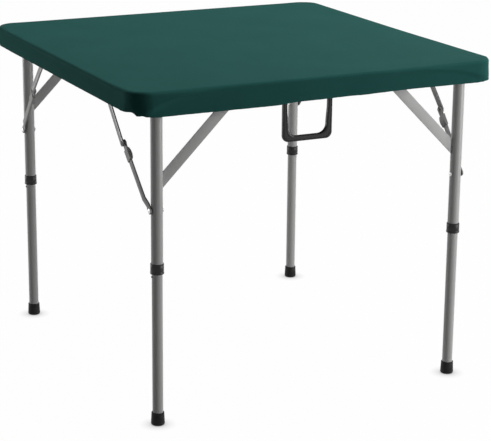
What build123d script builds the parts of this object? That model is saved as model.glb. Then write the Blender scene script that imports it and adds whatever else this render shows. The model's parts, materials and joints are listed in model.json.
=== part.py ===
"""Square bi-fold card table with split legs and a fitted elastic cover.

Frame: millimetres, +Z up, origin on the floor under the middle of the top.
X runs along the fold line, the carry handle is on the -Y side.
The front half is the -Y half and the rear half is the +Y half.
"""
from build123d import *
from math import atan2, degrees, hypot, sqrt
import os

os.makedirs("parts", exist_ok=True)

# ---------------------------------------------------------------- driving sizes
# Moulded top
panel_width = 866.0          # along X
panel_depth = 866.0          # along Y, both halves opened flat
panel_top = 735.5            # height of the playing surface
plate_thickness = 11.0       # double-wall plate over the recess
rim_height = 42.0
rim_wall = 4.5
corner_radius = 46.0
edge_round = 5.0             # soft edge round the playing surface
fold_gap = 0.5               # between the two butting edges
notch_width = 175.0          # hand notch in the rim at the handle side
notch_depth = 10.0

# Elastic cover
cover_gap = 0.4
cover_thickness = 1.4
cover_lip = 9.0              # elastic hem turned under the rim

# Side rails, box section, one on each side of each half
rail_width = 20.0
rail_height = 24.0
rail_wall = 1.5
rail_inset = 11.0            # from the panel side to the rail
rail_fold_gap = 4.0          # from the fold line to the rail end
rail_end_reach = 12.5        # rail end beyond the leg pivot
cap_thickness = 3.0
cap_round = 2.4

# Fold hinge
fold_axis_drop = 5.5         # hinge line below the rim
leaf_thickness = 2.5
leaf_length = 48.0
leaf_height = 19.0
lobe_radius = 8.0
hinge_pin_radius = 3.5
joggle_gap = 0.2
rivet_radius = 2.5
rivet_pitch = 22.0
rivet_head_radius = 4.5
rivet_head_height = 1.8
leaf_start = 4.0             # from the fold line to the leaf plate
joggle_length = 14.0

# Leg frames
leg_rail_gap = 37.4          # leg centre inboard of the side rail
leg_setback = 40.0           # leg centre from the panel edge along Y
leg_pivot_rise = 15.5        # leg pivot above the rim
leg_outer_radius = 12.7
leg_wall = 1.0
cross_tube_radius = 11.0
cross_tube_wall = 1.2
pivot_spigot_radius = 8.0
spigot_play = 2.0            # side play between the cross tube and the rails
upper_leg_length = 366.0     # from the pivot to the lower end of the tube
strap_width = 24.0
strap_thickness = 3.0
strap_leg_drop = 169.0       # strap centre on the leg below the pivot
weld_bite = 1.0              # strap runs this far into the tubes before it is coped
weld_gap = 0.02

# Collars, extensions and feet
collar_radius = 14.5
collar_height = 23.0
collar_lip = 3.0             # closes the end of the leg tube
collar_flare = 0.5
collar_band = 4.0
extension_radius = 11.6
extension_wall = 1.2
plug_clearance = 35.0        # from the brace pin to the end of the extension inside the leg
stop_bead_radius = 2.4
stop_bead_drop = 6.0
foot_radius = 15.0
foot_height = 29.0
foot_top_radius = 13.8
foot_base = 5.0              # rubber under the tube end
foot_round = 3.0

# Folding braces
brace_leg_drop = 231.0       # lower pivot below the leg pivot
brace_rail_reach = 217.0     # upper pivot inboard of the leg pivot
link_width = 15.0
link_thickness = 3.0
link_rail_gap = 6.3          # the upper link stands off the rail on a spacer
link_gap = 2.2               # between the two links where they meet
link_leg_gap = 1.2
crank_start = 14.0
crank_end = 30.0
crank_share = 0.5
crank_finish = 16.0          # flat end of the lower link at the middle joint
brace_pin_radius = 3.0
pin_head_radius = 5.5
pin_head_height = 2.4
ring_length = 28.0
ring_wall = 1.2
ring_play = 0.3
ring_setback = 29.5          # ring centre from the middle joint when locked
ring_corner = 0.5
ring_bow = 3.0               # the inboard wall arches away from the link

# Carry handle
handle_width = 119.0
handle_drop = 112.0          # from its pivots to the underside of the grip
handle_setback = 69.0        # pivot line from the panel edge
handle_pivot_rise = 3.5      # pivot line above the rim
handle_arm = 10.0
handle_foot_arm = 13.0       # arm width where it runs into the grip
handle_straight = 37.0       # arms keep their width this far below the pivots
handle_grip = 12.5
handle_depth = 11.0
handle_round = 14.0
handle_inner_round = 20.0
handle_edge = 2.5
handle_pin_radius = 4.0
ear_thickness = 3.5
ear_play = 0.5
ear_radius = 8.5
bracket_plate = 3.0
bracket_flange = 14.0

# Tube clips under the top
storage_rows = (201.0, 273.0)  # from the panel edge
clip_wall = 2.6
clip_length = 18.0
clip_play = 0.3
clip_mouth = 19.0
clip_foot = 3.0
catch_setback = 311.0        # from the panel edge
catch_wall = 2.4
catch_depth = 23.0
catch_length = 20.0
catch_play = 0.5
saddle_spacing = 600.0
saddle_width = 24.0
saddle_wall = 2.6
saddle_flange = 7.0

# Tube along the fold line
fold_tube_radius = 9.5
fold_tube_wall = 1.2
fold_tube_length = 676.0
fold_tube_setback = 15.0
fold_tube_drop = 12.5        # tube centre below the plate
fold_clip_length = 26.0
fold_clip_wall = 2.4
fold_clip_count = 4
fold_clip_pitch = 190.0

# Small hardware and running fits
pin_play = 0.05
tube_play = 0.1
screw_radius = 2.1
screw_head_radius = 4.5
screw_head_height = 2.0
screw_depth = 7.0            # into the plate
screw_end_gap = 14.0
screw_head_taper = 30.0      # sloping side of every rivet and screw head
screw_count = 3

# ------------------------------------------------------------ worked-out places
half_width = panel_width / 2
half_depth = panel_depth / 2
plate_bottom = panel_top - plate_thickness
rim_bottom = panel_top - rim_height
fold_axis_z = rim_bottom - fold_axis_drop

rail_outer_x = half_width - rail_inset
rail_x = rail_outer_x - rail_width / 2
rail_inner_x = rail_outer_x - rail_width
rail_z = plate_bottom - rail_height / 2
rail_bottom = plate_bottom - rail_height

leg_x = rail_inner_x - leg_rail_gap
leg_y = half_depth - leg_setback
leg_pivot_z = rim_bottom + leg_pivot_rise
joint_height = leg_pivot_z - upper_leg_length
rail_end_y = leg_y + rail_end_reach

rivet_z = rail_z
plug_depth = 2 * rail_wall

brace_leg_z = leg_pivot_z - brace_leg_drop
brace_rail_y = leg_y - brace_rail_reach
plug_top = brace_leg_z - plug_clearance
brace_span = hypot(brace_leg_drop, brace_rail_reach)
brace_fold = brace_leg_drop - brace_rail_reach
leg_link_length = (brace_span + brace_fold) / 2
rail_link_length = (brace_span - brace_fold) / 2
brace_angle = degrees(atan2(brace_leg_drop, brace_rail_reach))
brace_run_y = brace_rail_reach / brace_span
brace_run_z = brace_leg_drop / brace_span
middle_y = leg_y - leg_link_length * brace_run_y
middle_z = brace_leg_z + leg_link_length * brace_run_z

rail_link_x = rail_inner_x - link_rail_gap - link_thickness / 2
leg_link_x = rail_link_x - link_thickness - link_gap
leg_link_foot_x = leg_x + leg_outer_radius + link_leg_gap + link_thickness / 2

handle_y = half_depth - handle_setback
handle_pivot_z = rim_bottom + handle_pivot_rise
fold_tube_z = plate_bottom - fold_tube_drop

HALVES = (("front", -1), ("rear", 1))
SIDES = (("left", -1), ("right", 1))


# -------------------------------------------------------------- shared profiles
def half_outline(side_y, grow):
    """Outline of one half of the top, grown outwards by grow on its three free sides."""
    reach_x = half_width + grow
    reach_y = half_depth + grow
    round_off = corner_radius + grow
    start_y = fold_gap / 2
    with BuildSketch(Plane.XY) as outline:
        with Locations((0, side_y * (start_y + reach_y) / 2)):
            Rectangle(2 * reach_x, reach_y - start_y)
        far = outline.vertices().group_by(Axis.Y)[-1 if side_y > 0 else 0]
        fillet(far, round_off)
    return outline.sketch


def soft_slab(side_y, grow, low, high, soft):
    """A slab of the half outline whose three free top edges are rounded."""
    with BuildPart() as body:
        with BuildSketch(Plane.XY.offset(low)):
            add(half_outline(side_y, grow))
        extrude(amount=high - low)
        top_rim = body.faces().sort_by(Axis.Z)[-1].edges()
        fold_edge = top_rim.sort_by(Axis.Y)[0 if side_y > 0 else -1]
        fillet([edge for edge in top_rim if edge != fold_edge], soft)
    return body.part


def screw_places(side_y):
    """Distances along Y of the screws that hold one rail to the plate."""
    first = rail_fold_gap + leaf_length + screw_end_gap
    last = rail_end_y - 2 * rail_end_reach - screw_end_gap
    step = (last - first) / (screw_count - 1)
    return [side_y * (first + step * number) for number in range(screw_count)]


def rivet_places(side_y):
    """Distances along Y of the two rivets of one hinge leaf."""
    middle = rail_fold_gap + leaf_length / 2 + rivet_pitch / 4
    return [side_y * (middle - rivet_pitch / 2), side_y * (middle + rivet_pitch / 2)]


# ------------------------------------------------------------------ moulded top
for half, fy in HALVES:
    with BuildPart() as panel:
        add(soft_slab(fy, 0, rim_bottom, panel_top, edge_round))
        # recess that swallows the folded legs, open to the other half
        with BuildSketch(Plane.XY.offset(rim_bottom)):
            add(half_outline(fy, -rim_wall))
            with Locations((0, fy * fold_gap / 2)):
                Rectangle(2 * (half_width - rim_wall), 2 * rim_wall)
        extrude(amount=rim_height - plate_thickness, mode=Mode.SUBTRACT)
        # hand notch in the rim
        with BuildSketch(Plane.XZ.offset(-fy * (half_depth - rim_wall / 2))):
            with Locations((0, rim_bottom)):
                RectangleRounded(notch_width, 2 * notch_depth, notch_depth / 2)
        extrude(amount=rim_wall, both=True, mode=Mode.SUBTRACT)
        # blind holes for the rail screws
        with BuildSketch(Plane.XY.offset(plate_bottom)):
            with Locations([(fx * rail_x, y) for fx in (-1, 1) for y in screw_places(fy)]):
                Circle(screw_radius + pin_play)
        extrude(amount=screw_depth, mode=Mode.SUBTRACT)
    panel.part.label = f"{half}_panel"
    export_step(panel.part, f"parts/{half}_panel.step")

# ---------------------------------------------------------------- elastic cover
cover_skin = cover_gap + cover_thickness
for half, fy in HALVES:
    with BuildPart() as cover:
        skin_top = panel_top + cover_skin
        add(soft_slab(fy, cover_skin, rim_bottom - cover_skin, skin_top, edge_round + cover_skin))
        room_top = panel_top + cover_gap
        room = soft_slab(fy, cover_gap, rim_bottom - cover_gap, room_top, edge_round + cover_gap)
        add(room, mode=Mode.SUBTRACT)
        # opening inside the elastic hem
        with BuildSketch(Plane.XY.offset(rim_bottom - cover_skin)):
            add(half_outline(fy, -cover_lip))
            with Locations((0, fy * fold_gap / 2)):
                Rectangle(2 * (half_width - cover_lip), 2 * cover_lip)
        extrude(amount=cover_thickness, mode=Mode.SUBTRACT)
    cover.part.label = f"{half}_cover"
    export_step(cover.part, f"parts/{half}_cover.step")

# ------------------------------------------------------------------- side rails
for half, fy in HALVES:
    for side, fx in SIDES:
        with BuildPart() as rail:
            with BuildSketch(Plane.XZ.offset(-fy * rail_fold_gap)):
                with Locations((fx * rail_x, rail_z)):
                    RectangleRounded(rail_width, rail_height, rail_wall)
                    Rectangle(
                        rail_width - 2 * rail_wall,
                        rail_height - 2 * rail_wall,
                        mode=Mode.SUBTRACT,
                    )
            extrude(amount=-fy * (rail_end_y - rail_fold_gap))
            # bearing hole for the spigot of the leg frame, through both walls
            with BuildSketch(Plane.YZ.offset(fx * rail_x)):
                with Locations((fy * leg_y, leg_pivot_z)):
                    Circle(pivot_spigot_radius + pin_play)
            extrude(amount=rail_width, both=True, mode=Mode.SUBTRACT)
            # brace pivot and hinge rivets, through the inner wall
            with BuildSketch(Plane.YZ.offset(fx * rail_inner_x)):
                with Locations((fy * brace_rail_y, leg_pivot_z)):
                    Circle(brace_pin_radius + pin_play)
                with Locations([(y, rivet_z) for y in rivet_places(fy)]):
                    Circle(rivet_radius + pin_play)
            extrude(amount=rail_wall * 2, both=True, mode=Mode.SUBTRACT)
            # screws up into the plate
            with BuildSketch(Plane.XY.offset(rail_bottom)):
                with Locations([(fx * rail_x, y) for y in screw_places(fy)]):
                    Circle(screw_radius + pin_play)
            extrude(amount=rail_height, mode=Mode.SUBTRACT)
        rail.part.label = f"{half}_{side}_rail"
        export_step(rail.part, f"parts/{half}_{side}_rail.step")

# -------------------------------------------------- black end caps of the rails
for half, fy in HALVES:
    with BuildPart() as caps:
        cap_y = fy * (rail_end_y + cap_thickness / 2)
        with BuildSketch(Plane.XY.offset(rail_bottom)):
            with Locations((-rail_x, cap_y), (rail_x, cap_y)):
                Rectangle(rail_width, cap_thickness)
            far_corners = vertices().group_by(Axis.Y)[-1 if fy > 0 else 0]
            fillet(far_corners, cap_round)
        extrude(amount=rail_height)
    caps.part.label = f"{half}_rail_caps"
    export_step(caps.part, f"parts/{half}_rail_caps.step")

# ------------------------------------------------------------------ fold hinges
for half, fy in HALVES:
    outer_x = rail_inner_x
    lobe_x = outer_x if fy < 0 else outer_x - leaf_thickness - joggle_gap
    with BuildPart() as leaves:
        for fx in (-1, 1):
            # plate against the inner wall of the rail
            with BuildSketch(Plane.YZ.offset(fx * outer_x)):
                with Locations((fy * (leaf_start + leaf_length) / 2, rivet_z)):
                    Rectangle(leaf_length - leaf_start, leaf_height)
            extrude(amount=-fx * leaf_thickness)
            # lobe that reaches down to the hinge line, one beside the other
            with BuildSketch(Plane.YZ.offset(fx * lobe_x)):
                with BuildLine():
                    CenterArc((0, fold_axis_z), lobe_radius, 0, 360)
                    Polyline(
                        (fy * leaf_start, rivet_z + leaf_height / 2),
                        (fy * (leaf_start + joggle_length), rivet_z + leaf_height / 2),
                        (fy * (leaf_start + joggle_length), rivet_z - leaf_height / 2),
                    )
                make_hull()
            extrude(amount=-fx * leaf_thickness)
            # joggle that ties an offset lobe to its plate
            if lobe_x != outer_x:
                with BuildSketch(Plane.YZ.offset(fx * outer_x)):
                    with Locations((fy * (leaf_start + joggle_length / 2), rivet_z)):
                        Rectangle(joggle_length, leaf_height)
                extrude(amount=-fx * (outer_x - lobe_x + leaf_thickness))
        with BuildSketch(Plane.YZ.offset(-outer_x)):
            with Locations((0, fold_axis_z)):
                Circle(hinge_pin_radius + pin_play)
            with Locations([(y, rivet_z) for y in rivet_places(fy)]):
                Circle(rivet_radius + pin_play)
        extrude(amount=2 * outer_x, mode=Mode.SUBTRACT)
    leaves.part.label = f"{half}_hinge_leaves"
    export_step(leaves.part, f"parts/{half}_hinge_leaves.step")

with BuildPart() as hinge_pins:
    pin_start = rail_inner_x + pin_play
    pin_reach = 2 * leaf_thickness + joggle_gap + 2 * pin_play
    for fx in (-1, 1):
        with BuildSketch(Plane.YZ.offset(fx * pin_start)):
            with Locations((0, fold_axis_z)):
                Circle(hinge_pin_radius)
        extrude(amount=-fx * pin_reach)
        with BuildSketch(Plane.YZ.offset(fx * pin_start)):
            with Locations((0, fold_axis_z)):
                Circle(pin_head_radius)
        extrude(amount=fx * pin_head_height)
        with BuildSketch(Plane.YZ.offset(fx * (pin_start - pin_reach))):
            with Locations((0, fold_axis_z)):
                Circle(pin_head_radius)
        extrude(amount=-fx * pin_head_height)
hinge_pins.part.label = "hinge_pins"
export_step(hinge_pins.part, "parts/hinge_pins.step")

# ------------------------------------- screws, rivets and brace pivots of a half
for half, fy in HALVES:
    with BuildPart() as fasteners:
        for fx in (-1, 1):
            # screws: head under the rail, shank through it into the plate
            with BuildSketch(Plane.XY.offset(rail_bottom)):
                with Locations([(fx * rail_x, y) for y in screw_places(fy)]):
                    Circle(screw_radius)
            extrude(amount=rail_height + screw_depth - pin_play)
            with BuildSketch(Plane.XY.offset(rail_bottom)):
                with Locations([(fx * rail_x, y) for y in screw_places(fy)]):
                    Circle(screw_head_radius)
            extrude(amount=-screw_head_height, taper=screw_head_taper)
            # rivets of the hinge leaf
            with BuildSketch(Plane.YZ.offset(fx * (rail_inner_x - leaf_thickness))):
                with Locations([(y, rivet_z) for y in rivet_places(fy)]):
                    Circle(rivet_radius)
            extrude(amount=fx * (leaf_thickness + rail_wall))
            with BuildSketch(Plane.YZ.offset(fx * (rail_inner_x - leaf_thickness))):
                with Locations([(y, rivet_z) for y in rivet_places(fy)]):
                    Circle(rivet_head_radius)
            extrude(amount=-fx * rivet_head_height, taper=screw_head_taper)
            with BuildSketch(Plane.YZ.offset(fx * (rail_inner_x + rail_wall))):
                with Locations([(y, rivet_z) for y in rivet_places(fy)]):
                    Circle(rivet_head_radius)
            extrude(amount=fx * rivet_head_height)
            # pivot of the folding brace, headed on both sides
            link_face = rail_link_x - link_thickness / 2 - pin_play
            with BuildSketch(Plane.YZ.offset(fx * link_face)):
                with Locations((fy * brace_rail_y, leg_pivot_z)):
                    Circle(brace_pin_radius)
            extrude(amount=fx * (rail_inner_x + rail_wall - link_face))
            with BuildSketch(Plane.YZ.offset(fx * link_face)):
                with Locations((fy * brace_rail_y, leg_pivot_z)):
                    Circle(pin_head_radius)
            extrude(amount=-fx * pin_head_height, taper=screw_head_taper)
            # spacer that keeps the link off the rail
            with BuildSketch(Plane.YZ.offset(fx * rail_inner_x)):
                with Locations((fy * brace_rail_y, leg_pivot_z)):
                    Circle(pin_head_radius)
            extrude(amount=-fx * (link_rail_gap - pin_play))
            with BuildSketch(Plane.YZ.offset(fx * (rail_inner_x + rail_wall))):
                with Locations((fy * brace_rail_y, leg_pivot_z)):
                    Circle(pin_head_radius)
            extrude(amount=fx * pin_head_height)
    fasteners.part.label = f"{half}_fasteners"
    export_step(fasteners.part, f"parts/{half}_fasteners.step")

# ------------------------------------------------- tube along the fold, its clips
with BuildPart() as fold_tube:
    with BuildSketch(Plane.YZ.offset(-fold_tube_length / 2)):
        with Locations((-fold_tube_setback, fold_tube_z)):
            Circle(fold_tube_radius)
            Circle(fold_tube_radius - fold_tube_wall, mode=Mode.SUBTRACT)
    extrude(amount=fold_tube_length)
fold_tube.part.label = "fold_tube"
export_step(fold_tube.part, "parts/fold_tube.step")

with BuildPart() as fold_tube_clips:
    for number in range(fold_clip_count):
        clip_x = (number - (fold_clip_count - 1) / 2) * fold_clip_pitch
        clip_radius = fold_tube_radius + tube_play + fold_clip_wall
        with BuildSketch(Plane.YZ.offset(clip_x - fold_clip_length / 2)):
            with Locations((-fold_tube_setback, fold_tube_z)):
                Circle(clip_radius)
            with Locations((-fold_tube_setback, (fold_tube_z + plate_bottom) / 2)):
                Rectangle(2 * clip_radius, plate_bottom - fold_tube_z)
            with Locations((-fold_tube_setback, fold_tube_z)):
                Circle(fold_tube_radius + tube_play, mode=Mode.SUBTRACT)
        extrude(amount=fold_clip_length)
fold_tube_clips.part.label = "fold_tube_clips"
export_step(fold_tube_clips.part, "parts/fold_tube_clips.step")

# ------------------------------------------- clips for the stored leg extensions
clip_inner = extension_radius + clip_play
clip_outer = clip_inner + clip_wall
clip_z = plate_bottom - clip_foot - clip_outer
for half, fy in HALVES:
    with BuildPart() as storage_clips:
        for row in storage_rows:
            row_y = fy * (half_depth - row)
            with BuildSketch(Plane.YZ.offset(-clip_length / 2)):
                with Locations((row_y, clip_z)):
                    Circle(clip_outer)
                with Locations((row_y, (clip_z + plate_bottom) / 2)):
                    Rectangle(clip_mouth, plate_bottom - clip_z)
                with Locations((row_y, clip_z)):
                    Circle(clip_inner, mode=Mode.SUBTRACT)
                # mouth that snaps over the tube
                with Locations((row_y, clip_z - clip_outer)):
                    Rectangle(clip_mouth, clip_outer, mode=Mode.SUBTRACT)
            extrude(amount=clip_length)
    storage_clips.part.label = f"{half}_storage_clips"
    export_step(storage_clips.part, f"parts/{half}_storage_clips.step")

# --------------------------------------------------- catches for the folded legs
catch_half = leg_outer_radius + catch_play
catch_base = plate_bottom - leg_pivot_z - leg_outer_radius - tube_play
for half, fy in HALVES:
    catch_y = fy * (half_depth - catch_setback)
    with BuildPart() as leg_catches:
        for fx in (-1, 1):
            with BuildSketch(Plane.XZ.offset(-catch_y - catch_length / 2)):
                with Locations((fx * leg_x, plate_bottom - catch_depth / 2)):
                    Rectangle(2 * (catch_half + catch_wall), catch_depth)
                with Locations((fx * leg_x, plate_bottom - catch_base - catch_depth / 2)):
                    Rectangle(2 * catch_half, catch_depth, mode=Mode.SUBTRACT)
            extrude(amount=catch_length)
        corners = leg_catches.edges().filter_by(Axis.Y).group_by(Axis.Z)[0]
        fillet(corners, catch_wall / 2 - pin_play)
    leg_catches.part.label = f"{half}_leg_catches"
    export_step(leg_catches.part, f"parts/{half}_leg_catches.step")

# ------------------------------------------- saddles over the rear pivot tube
saddle_inner = cross_tube_radius + clip_play
saddle_outer = saddle_inner + saddle_wall
with BuildPart() as rear_saddles:
    for fx in (-1, 1):
        with BuildSketch(Plane.YZ.offset(fx * saddle_spacing / 2 - saddle_width / 2)):
            with Locations((leg_y, leg_pivot_z)):
                Circle(saddle_outer)
            with Locations((leg_y, (leg_pivot_z + plate_bottom) / 2)):
                Rectangle(2 * saddle_outer, plate_bottom - leg_pivot_z)
            with Locations((leg_y, plate_bottom - saddle_wall / 2)):
                Rectangle(2 * (saddle_outer + saddle_flange), saddle_wall)
            with Locations((leg_y, leg_pivot_z)):
                Circle(saddle_inner, mode=Mode.SUBTRACT)
            with Locations((leg_y, (leg_pivot_z + plate_bottom) / 2)):
                Rectangle(2 * saddle_inner, plate_bottom - leg_pivot_z, mode=Mode.SUBTRACT)
        extrude(amount=saddle_width)
rear_saddles.part.label = "rear_saddles"
export_step(rear_saddles.part, "parts/rear_saddles.step")

# ------------------------------------------------------- pivot tubes of the legs
cross_reach = rail_inner_x - spigot_play
spigot_reach = rail_outer_x - rail_wall
for half, fy in HALVES:
    with BuildPart() as cross_tube:
        with BuildSketch(Plane.YZ.offset(-cross_reach)):
            with Locations((fy * leg_y, leg_pivot_z)):
                Circle(cross_tube_radius)
                Circle(cross_tube_radius - cross_tube_wall, mode=Mode.SUBTRACT)
        extrude(amount=2 * cross_reach)
        # stepped plugs that turn in the rails
        for fx in (-1, 1):
            with BuildSketch(Plane.YZ.offset(fx * (cross_reach - plug_depth))):
                with Locations((fy * leg_y, leg_pivot_z)):
                    Circle(cross_tube_radius - cross_tube_wall)
            extrude(amount=fx * plug_depth)
            with BuildSketch(Plane.YZ.offset(fx * cross_reach)):
                with Locations((fy * leg_y, leg_pivot_z)):
                    Circle(pivot_spigot_radius)
            extrude(amount=fx * (spigot_reach - cross_reach))
    cross_tube.part.label = f"{half}_cross_tube"
    export_step(cross_tube.part, f"parts/{half}_cross_tube.step")

# ------------------------------------------------------------------- upper legs
for half, fy in HALVES:
    for side, fx in SIDES:
        with BuildPart() as leg:
            with BuildSketch(Plane.XY.offset(joint_height)):
                with Locations((fx * leg_x, fy * leg_y)):
                    Circle(leg_outer_radius)
                    Circle(leg_outer_radius - leg_wall, mode=Mode.SUBTRACT)
            extrude(amount=leg_pivot_z - joint_height)
            # coped round the pivot tube
            with BuildSketch(Plane.YZ.offset(fx * leg_x)):
                with Locations((fy * leg_y, leg_pivot_z)):
                    Circle(cross_tube_radius + weld_gap)
            extrude(amount=2 * leg_outer_radius, both=True, mode=Mode.SUBTRACT)
            # cross hole for the brace pin
            with BuildSketch(Plane.YZ.offset(fx * leg_x)):
                with Locations((fy * leg_y, brace_leg_z)):
                    Circle(brace_pin_radius + pin_play)
            extrude(amount=2 * leg_outer_radius, both=True, mode=Mode.SUBTRACT)
        leg.part.label = f"{half}_{side}_leg"
        export_step(leg.part, f"parts/{half}_{side}_leg.step")

# --------------------------------------------------- black collars at the joints
collar_bottom = joint_height - collar_lip
for half, fy in HALVES:
    for side, fx in SIDES:
        with BuildPart() as collar:
            with BuildSketch(Plane.XY.offset(collar_bottom)):
                with Locations((fx * leg_x, fy * leg_y)):
                    Circle(collar_radius)
            extrude(amount=collar_height)
            with BuildSketch(Plane.XY.offset(collar_bottom)):
                with Locations((fx * leg_x, fy * leg_y)):
                    Circle(collar_radius + collar_flare)
            extrude(amount=collar_band)
            with BuildSketch(Plane.XY.offset(joint_height)):
                with Locations((fx * leg_x, fy * leg_y)):
                    Circle(leg_outer_radius + pin_play)
            extrude(amount=collar_height, mode=Mode.SUBTRACT)
            with BuildSketch(Plane.XY.offset(collar_bottom)):
                with Locations((fx * leg_x, fy * leg_y)):
                    Circle(extension_radius + tube_play)
            extrude(amount=collar_height, mode=Mode.SUBTRACT)
        collar.part.label = f"{half}_{side}_collar"
        export_step(collar.part, f"parts/{half}_{side}_collar.step")

# ------------------------------------------------------------- flat corner straps
strap_half_rise = strap_width / sqrt(2)
strap_leg_x = leg_x - leg_outer_radius + weld_bite
strap_leg_z = leg_pivot_z - strap_leg_drop
strap_top_z = leg_pivot_z - cross_tube_radius + weld_bite
strap_top_x = strap_leg_x - (strap_top_z - strap_leg_z)
for half, fy in HALVES:
    for side, fx in SIDES:
        with BuildPart() as strap:
            with BuildSketch(Plane.XZ.offset(-fy * leg_y)):
                with BuildLine():
                    Polyline(
                        (fx * strap_leg_x, strap_leg_z - strap_half_rise),
                        (fx * strap_leg_x, strap_leg_z + strap_half_rise),
                        (fx * (strap_top_x + strap_half_rise), strap_top_z),
                        (fx * (strap_top_x - strap_half_rise), strap_top_z),
                        close=True,
                    )
                make_face()
            extrude(amount=strap_thickness / 2, both=True)
            with BuildSketch(Plane.XY.offset(strap_leg_z - 2 * strap_width)):
                with Locations((fx * leg_x, fy * leg_y)):
                    Circle(leg_outer_radius + weld_gap)
            extrude(amount=4 * strap_width, mode=Mode.SUBTRACT)
            with BuildSketch(Plane.YZ.offset(fx * strap_top_x)):
                with Locations((fy * leg_y, leg_pivot_z)):
                    Circle(cross_tube_radius + weld_gap)
            extrude(amount=4 * strap_width, both=True, mode=Mode.SUBTRACT)
        strap.part.label = f"{half}_{side}_strap"
        export_step(strap.part, f"parts/{half}_{side}_strap.step")

# ------------------------------------------------ pins of the braces on the legs
pin_inner_x = leg_x - leg_outer_radius
pin_outer_x = leg_link_foot_x + link_thickness / 2 + pin_play
for half, fy in HALVES:
    with BuildPart() as leg_pins:
        for fx in (-1, 1):
            with BuildSketch(Plane.YZ.offset(fx * pin_inner_x)):
                with Locations((fy * leg_y, brace_leg_z)):
                    Circle(brace_pin_radius)
            extrude(amount=fx * (pin_outer_x - pin_inner_x))
            with BuildSketch(Plane.YZ.offset(fx * pin_outer_x)):
                with Locations((fy * leg_y, brace_leg_z)):
                    Circle(pin_head_radius)
            extrude(amount=fx * pin_head_height, taper=screw_head_taper)
            with BuildSketch(Plane.YZ.offset(fx * pin_inner_x)):
                with Locations((fy * leg_y, brace_leg_z)):
                    Circle(pin_head_radius)
            extrude(amount=-fx * pin_head_height, taper=screw_head_taper)
    leg_pins.part.label = f"{half}_leg_pins"
    export_step(leg_pins.part, f"parts/{half}_leg_pins.step")

# ------------------------------------------------------ folding braces and rings
def ring_outline(half_room):
    """Side view of the lock ring, whose inboard wall is arched."""
    reach = ring_length / 2
    with BuildSketch() as outline:
        with BuildLine():
            ThreePointArc((-reach, -half_room), (0, -half_room - ring_bow), (reach, -half_room))
            Polyline(
                (reach, -half_room),
                (reach, half_room),
                (-reach, half_room),
                (-reach, -half_room),
            )
        make_face()
    return outline.sketch


crank_x = leg_link_foot_x + crank_share * (leg_link_x - leg_link_foot_x)
slant_run = leg_link_length - crank_finish - crank_end
slant_rise = leg_link_x - crank_x
slant_length = hypot(slant_run, slant_rise)
slant_angle = degrees(atan2(slant_rise, slant_run))
ring_place = leg_link_length - ring_setback
ring_x = crank_x + slant_rise * (ring_place - crank_end) / slant_run
half_link = link_thickness / 2
link_overrun = link_width / 2 + weld_bite
for half, fy in HALVES:
    run = Vector(0, -fy * brace_run_y, brace_run_z)
    for side, fx in SIDES:
        outward = Vector(fx, 0, 0)
        # seen along the link's width: local X runs up the link, local Y is outboard
        edge_plane = Plane(
            origin=(0, fy * leg_y, brace_leg_z), x_dir=run, z_dir=run.cross(outward)
        )
        # seen from the side: local X runs up the link, normal is +X
        flat_plane = Plane(origin=(0, fy * leg_y, brace_leg_z), x_dir=run, z_dir=(1, 0, 0))
        with BuildPart() as leg_link:
            with BuildSketch(edge_plane):
                with BuildLine():
                    Polyline(
                        (-link_overrun, leg_link_foot_x - half_link),
                        (crank_start, leg_link_foot_x - half_link),
                        (crank_end, crank_x - half_link),
                        (crank_end + slant_run, leg_link_x - half_link),
                        (leg_link_length + link_overrun, leg_link_x - half_link),
                        (leg_link_length + link_overrun, leg_link_x + half_link),
                        (crank_end + slant_run, leg_link_x + half_link),
                        (crank_end, crank_x + half_link),
                        (crank_start, leg_link_foot_x + half_link),
                        (-link_overrun, leg_link_foot_x + half_link),
                        close=True,
                    )
                make_face()
            extrude(amount=link_width / 2, both=True)
            with BuildSketch(flat_plane):
                with Locations((leg_link_length / 2, 0)):
                    SlotCenterToCenter(leg_link_length, link_width)
                Circle(brace_pin_radius + pin_play, mode=Mode.SUBTRACT)
            extrude(amount=half_width, both=True, mode=Mode.INTERSECT)
            # closed head of the middle rivet, on the inboard face
            with BuildSketch(flat_plane.offset(fx * (leg_link_x - half_link))):
                with Locations((leg_link_length, 0)):
                    Circle(pin_head_radius)
            extrude(amount=-fx * pin_head_height, taper=screw_head_taper)
        leg_link.part.label = f"{half}_{side}_leg_link"
        export_step(leg_link.part, f"parts/{half}_{side}_leg_link.step")

        with BuildPart() as rail_link:
            with BuildSketch(flat_plane.offset(fx * (rail_link_x - half_link))):
                with Locations((leg_link_length + rail_link_length / 2, 0)):
                    SlotCenterToCenter(rail_link_length, link_width)
                with Locations((brace_span, 0)):
                    Circle(brace_pin_radius + pin_play, mode=Mode.SUBTRACT)
            extrude(amount=fx * link_thickness)
            # head of the middle rivet, on the outboard face
            with BuildSketch(flat_plane.offset(fx * (rail_link_x + half_link))):
                with Locations((leg_link_length, 0)):
                    Circle(rivet_head_radius)
            extrude(amount=fx * rivet_head_height, taper=screw_head_taper)
        rail_link.part.label = f"{half}_{side}_rail_link"
        export_step(rail_link.part, f"parts/{half}_{side}_rail_link.step")

        # lock ring, free to slide along the slanted run of the leg link
        with BuildPart() as lock_ring:
            with BuildSketch(edge_plane):
                with Locations(Location((ring_place, ring_x), slant_angle)):
                    add(ring_outline(half_link + ring_play + ring_wall))
            extrude(amount=link_width / 2 + ring_play + ring_wall, both=True)
            fillet(lock_ring.edges(), ring_corner)
            with BuildSketch(edge_plane):
                with Locations(Location((ring_place, ring_x), slant_angle)):
                    add(ring_outline(half_link + ring_play))
                    Rectangle(2 * ring_length, 2 * (half_link + ring_play))
            extrude(amount=link_width / 2 + ring_play, both=True, mode=Mode.SUBTRACT)
        lock_ring.part.label = f"{half}_{side}_lock_ring"
        export_step(lock_ring.part, f"parts/{half}_{side}_lock_ring.step")

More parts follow.
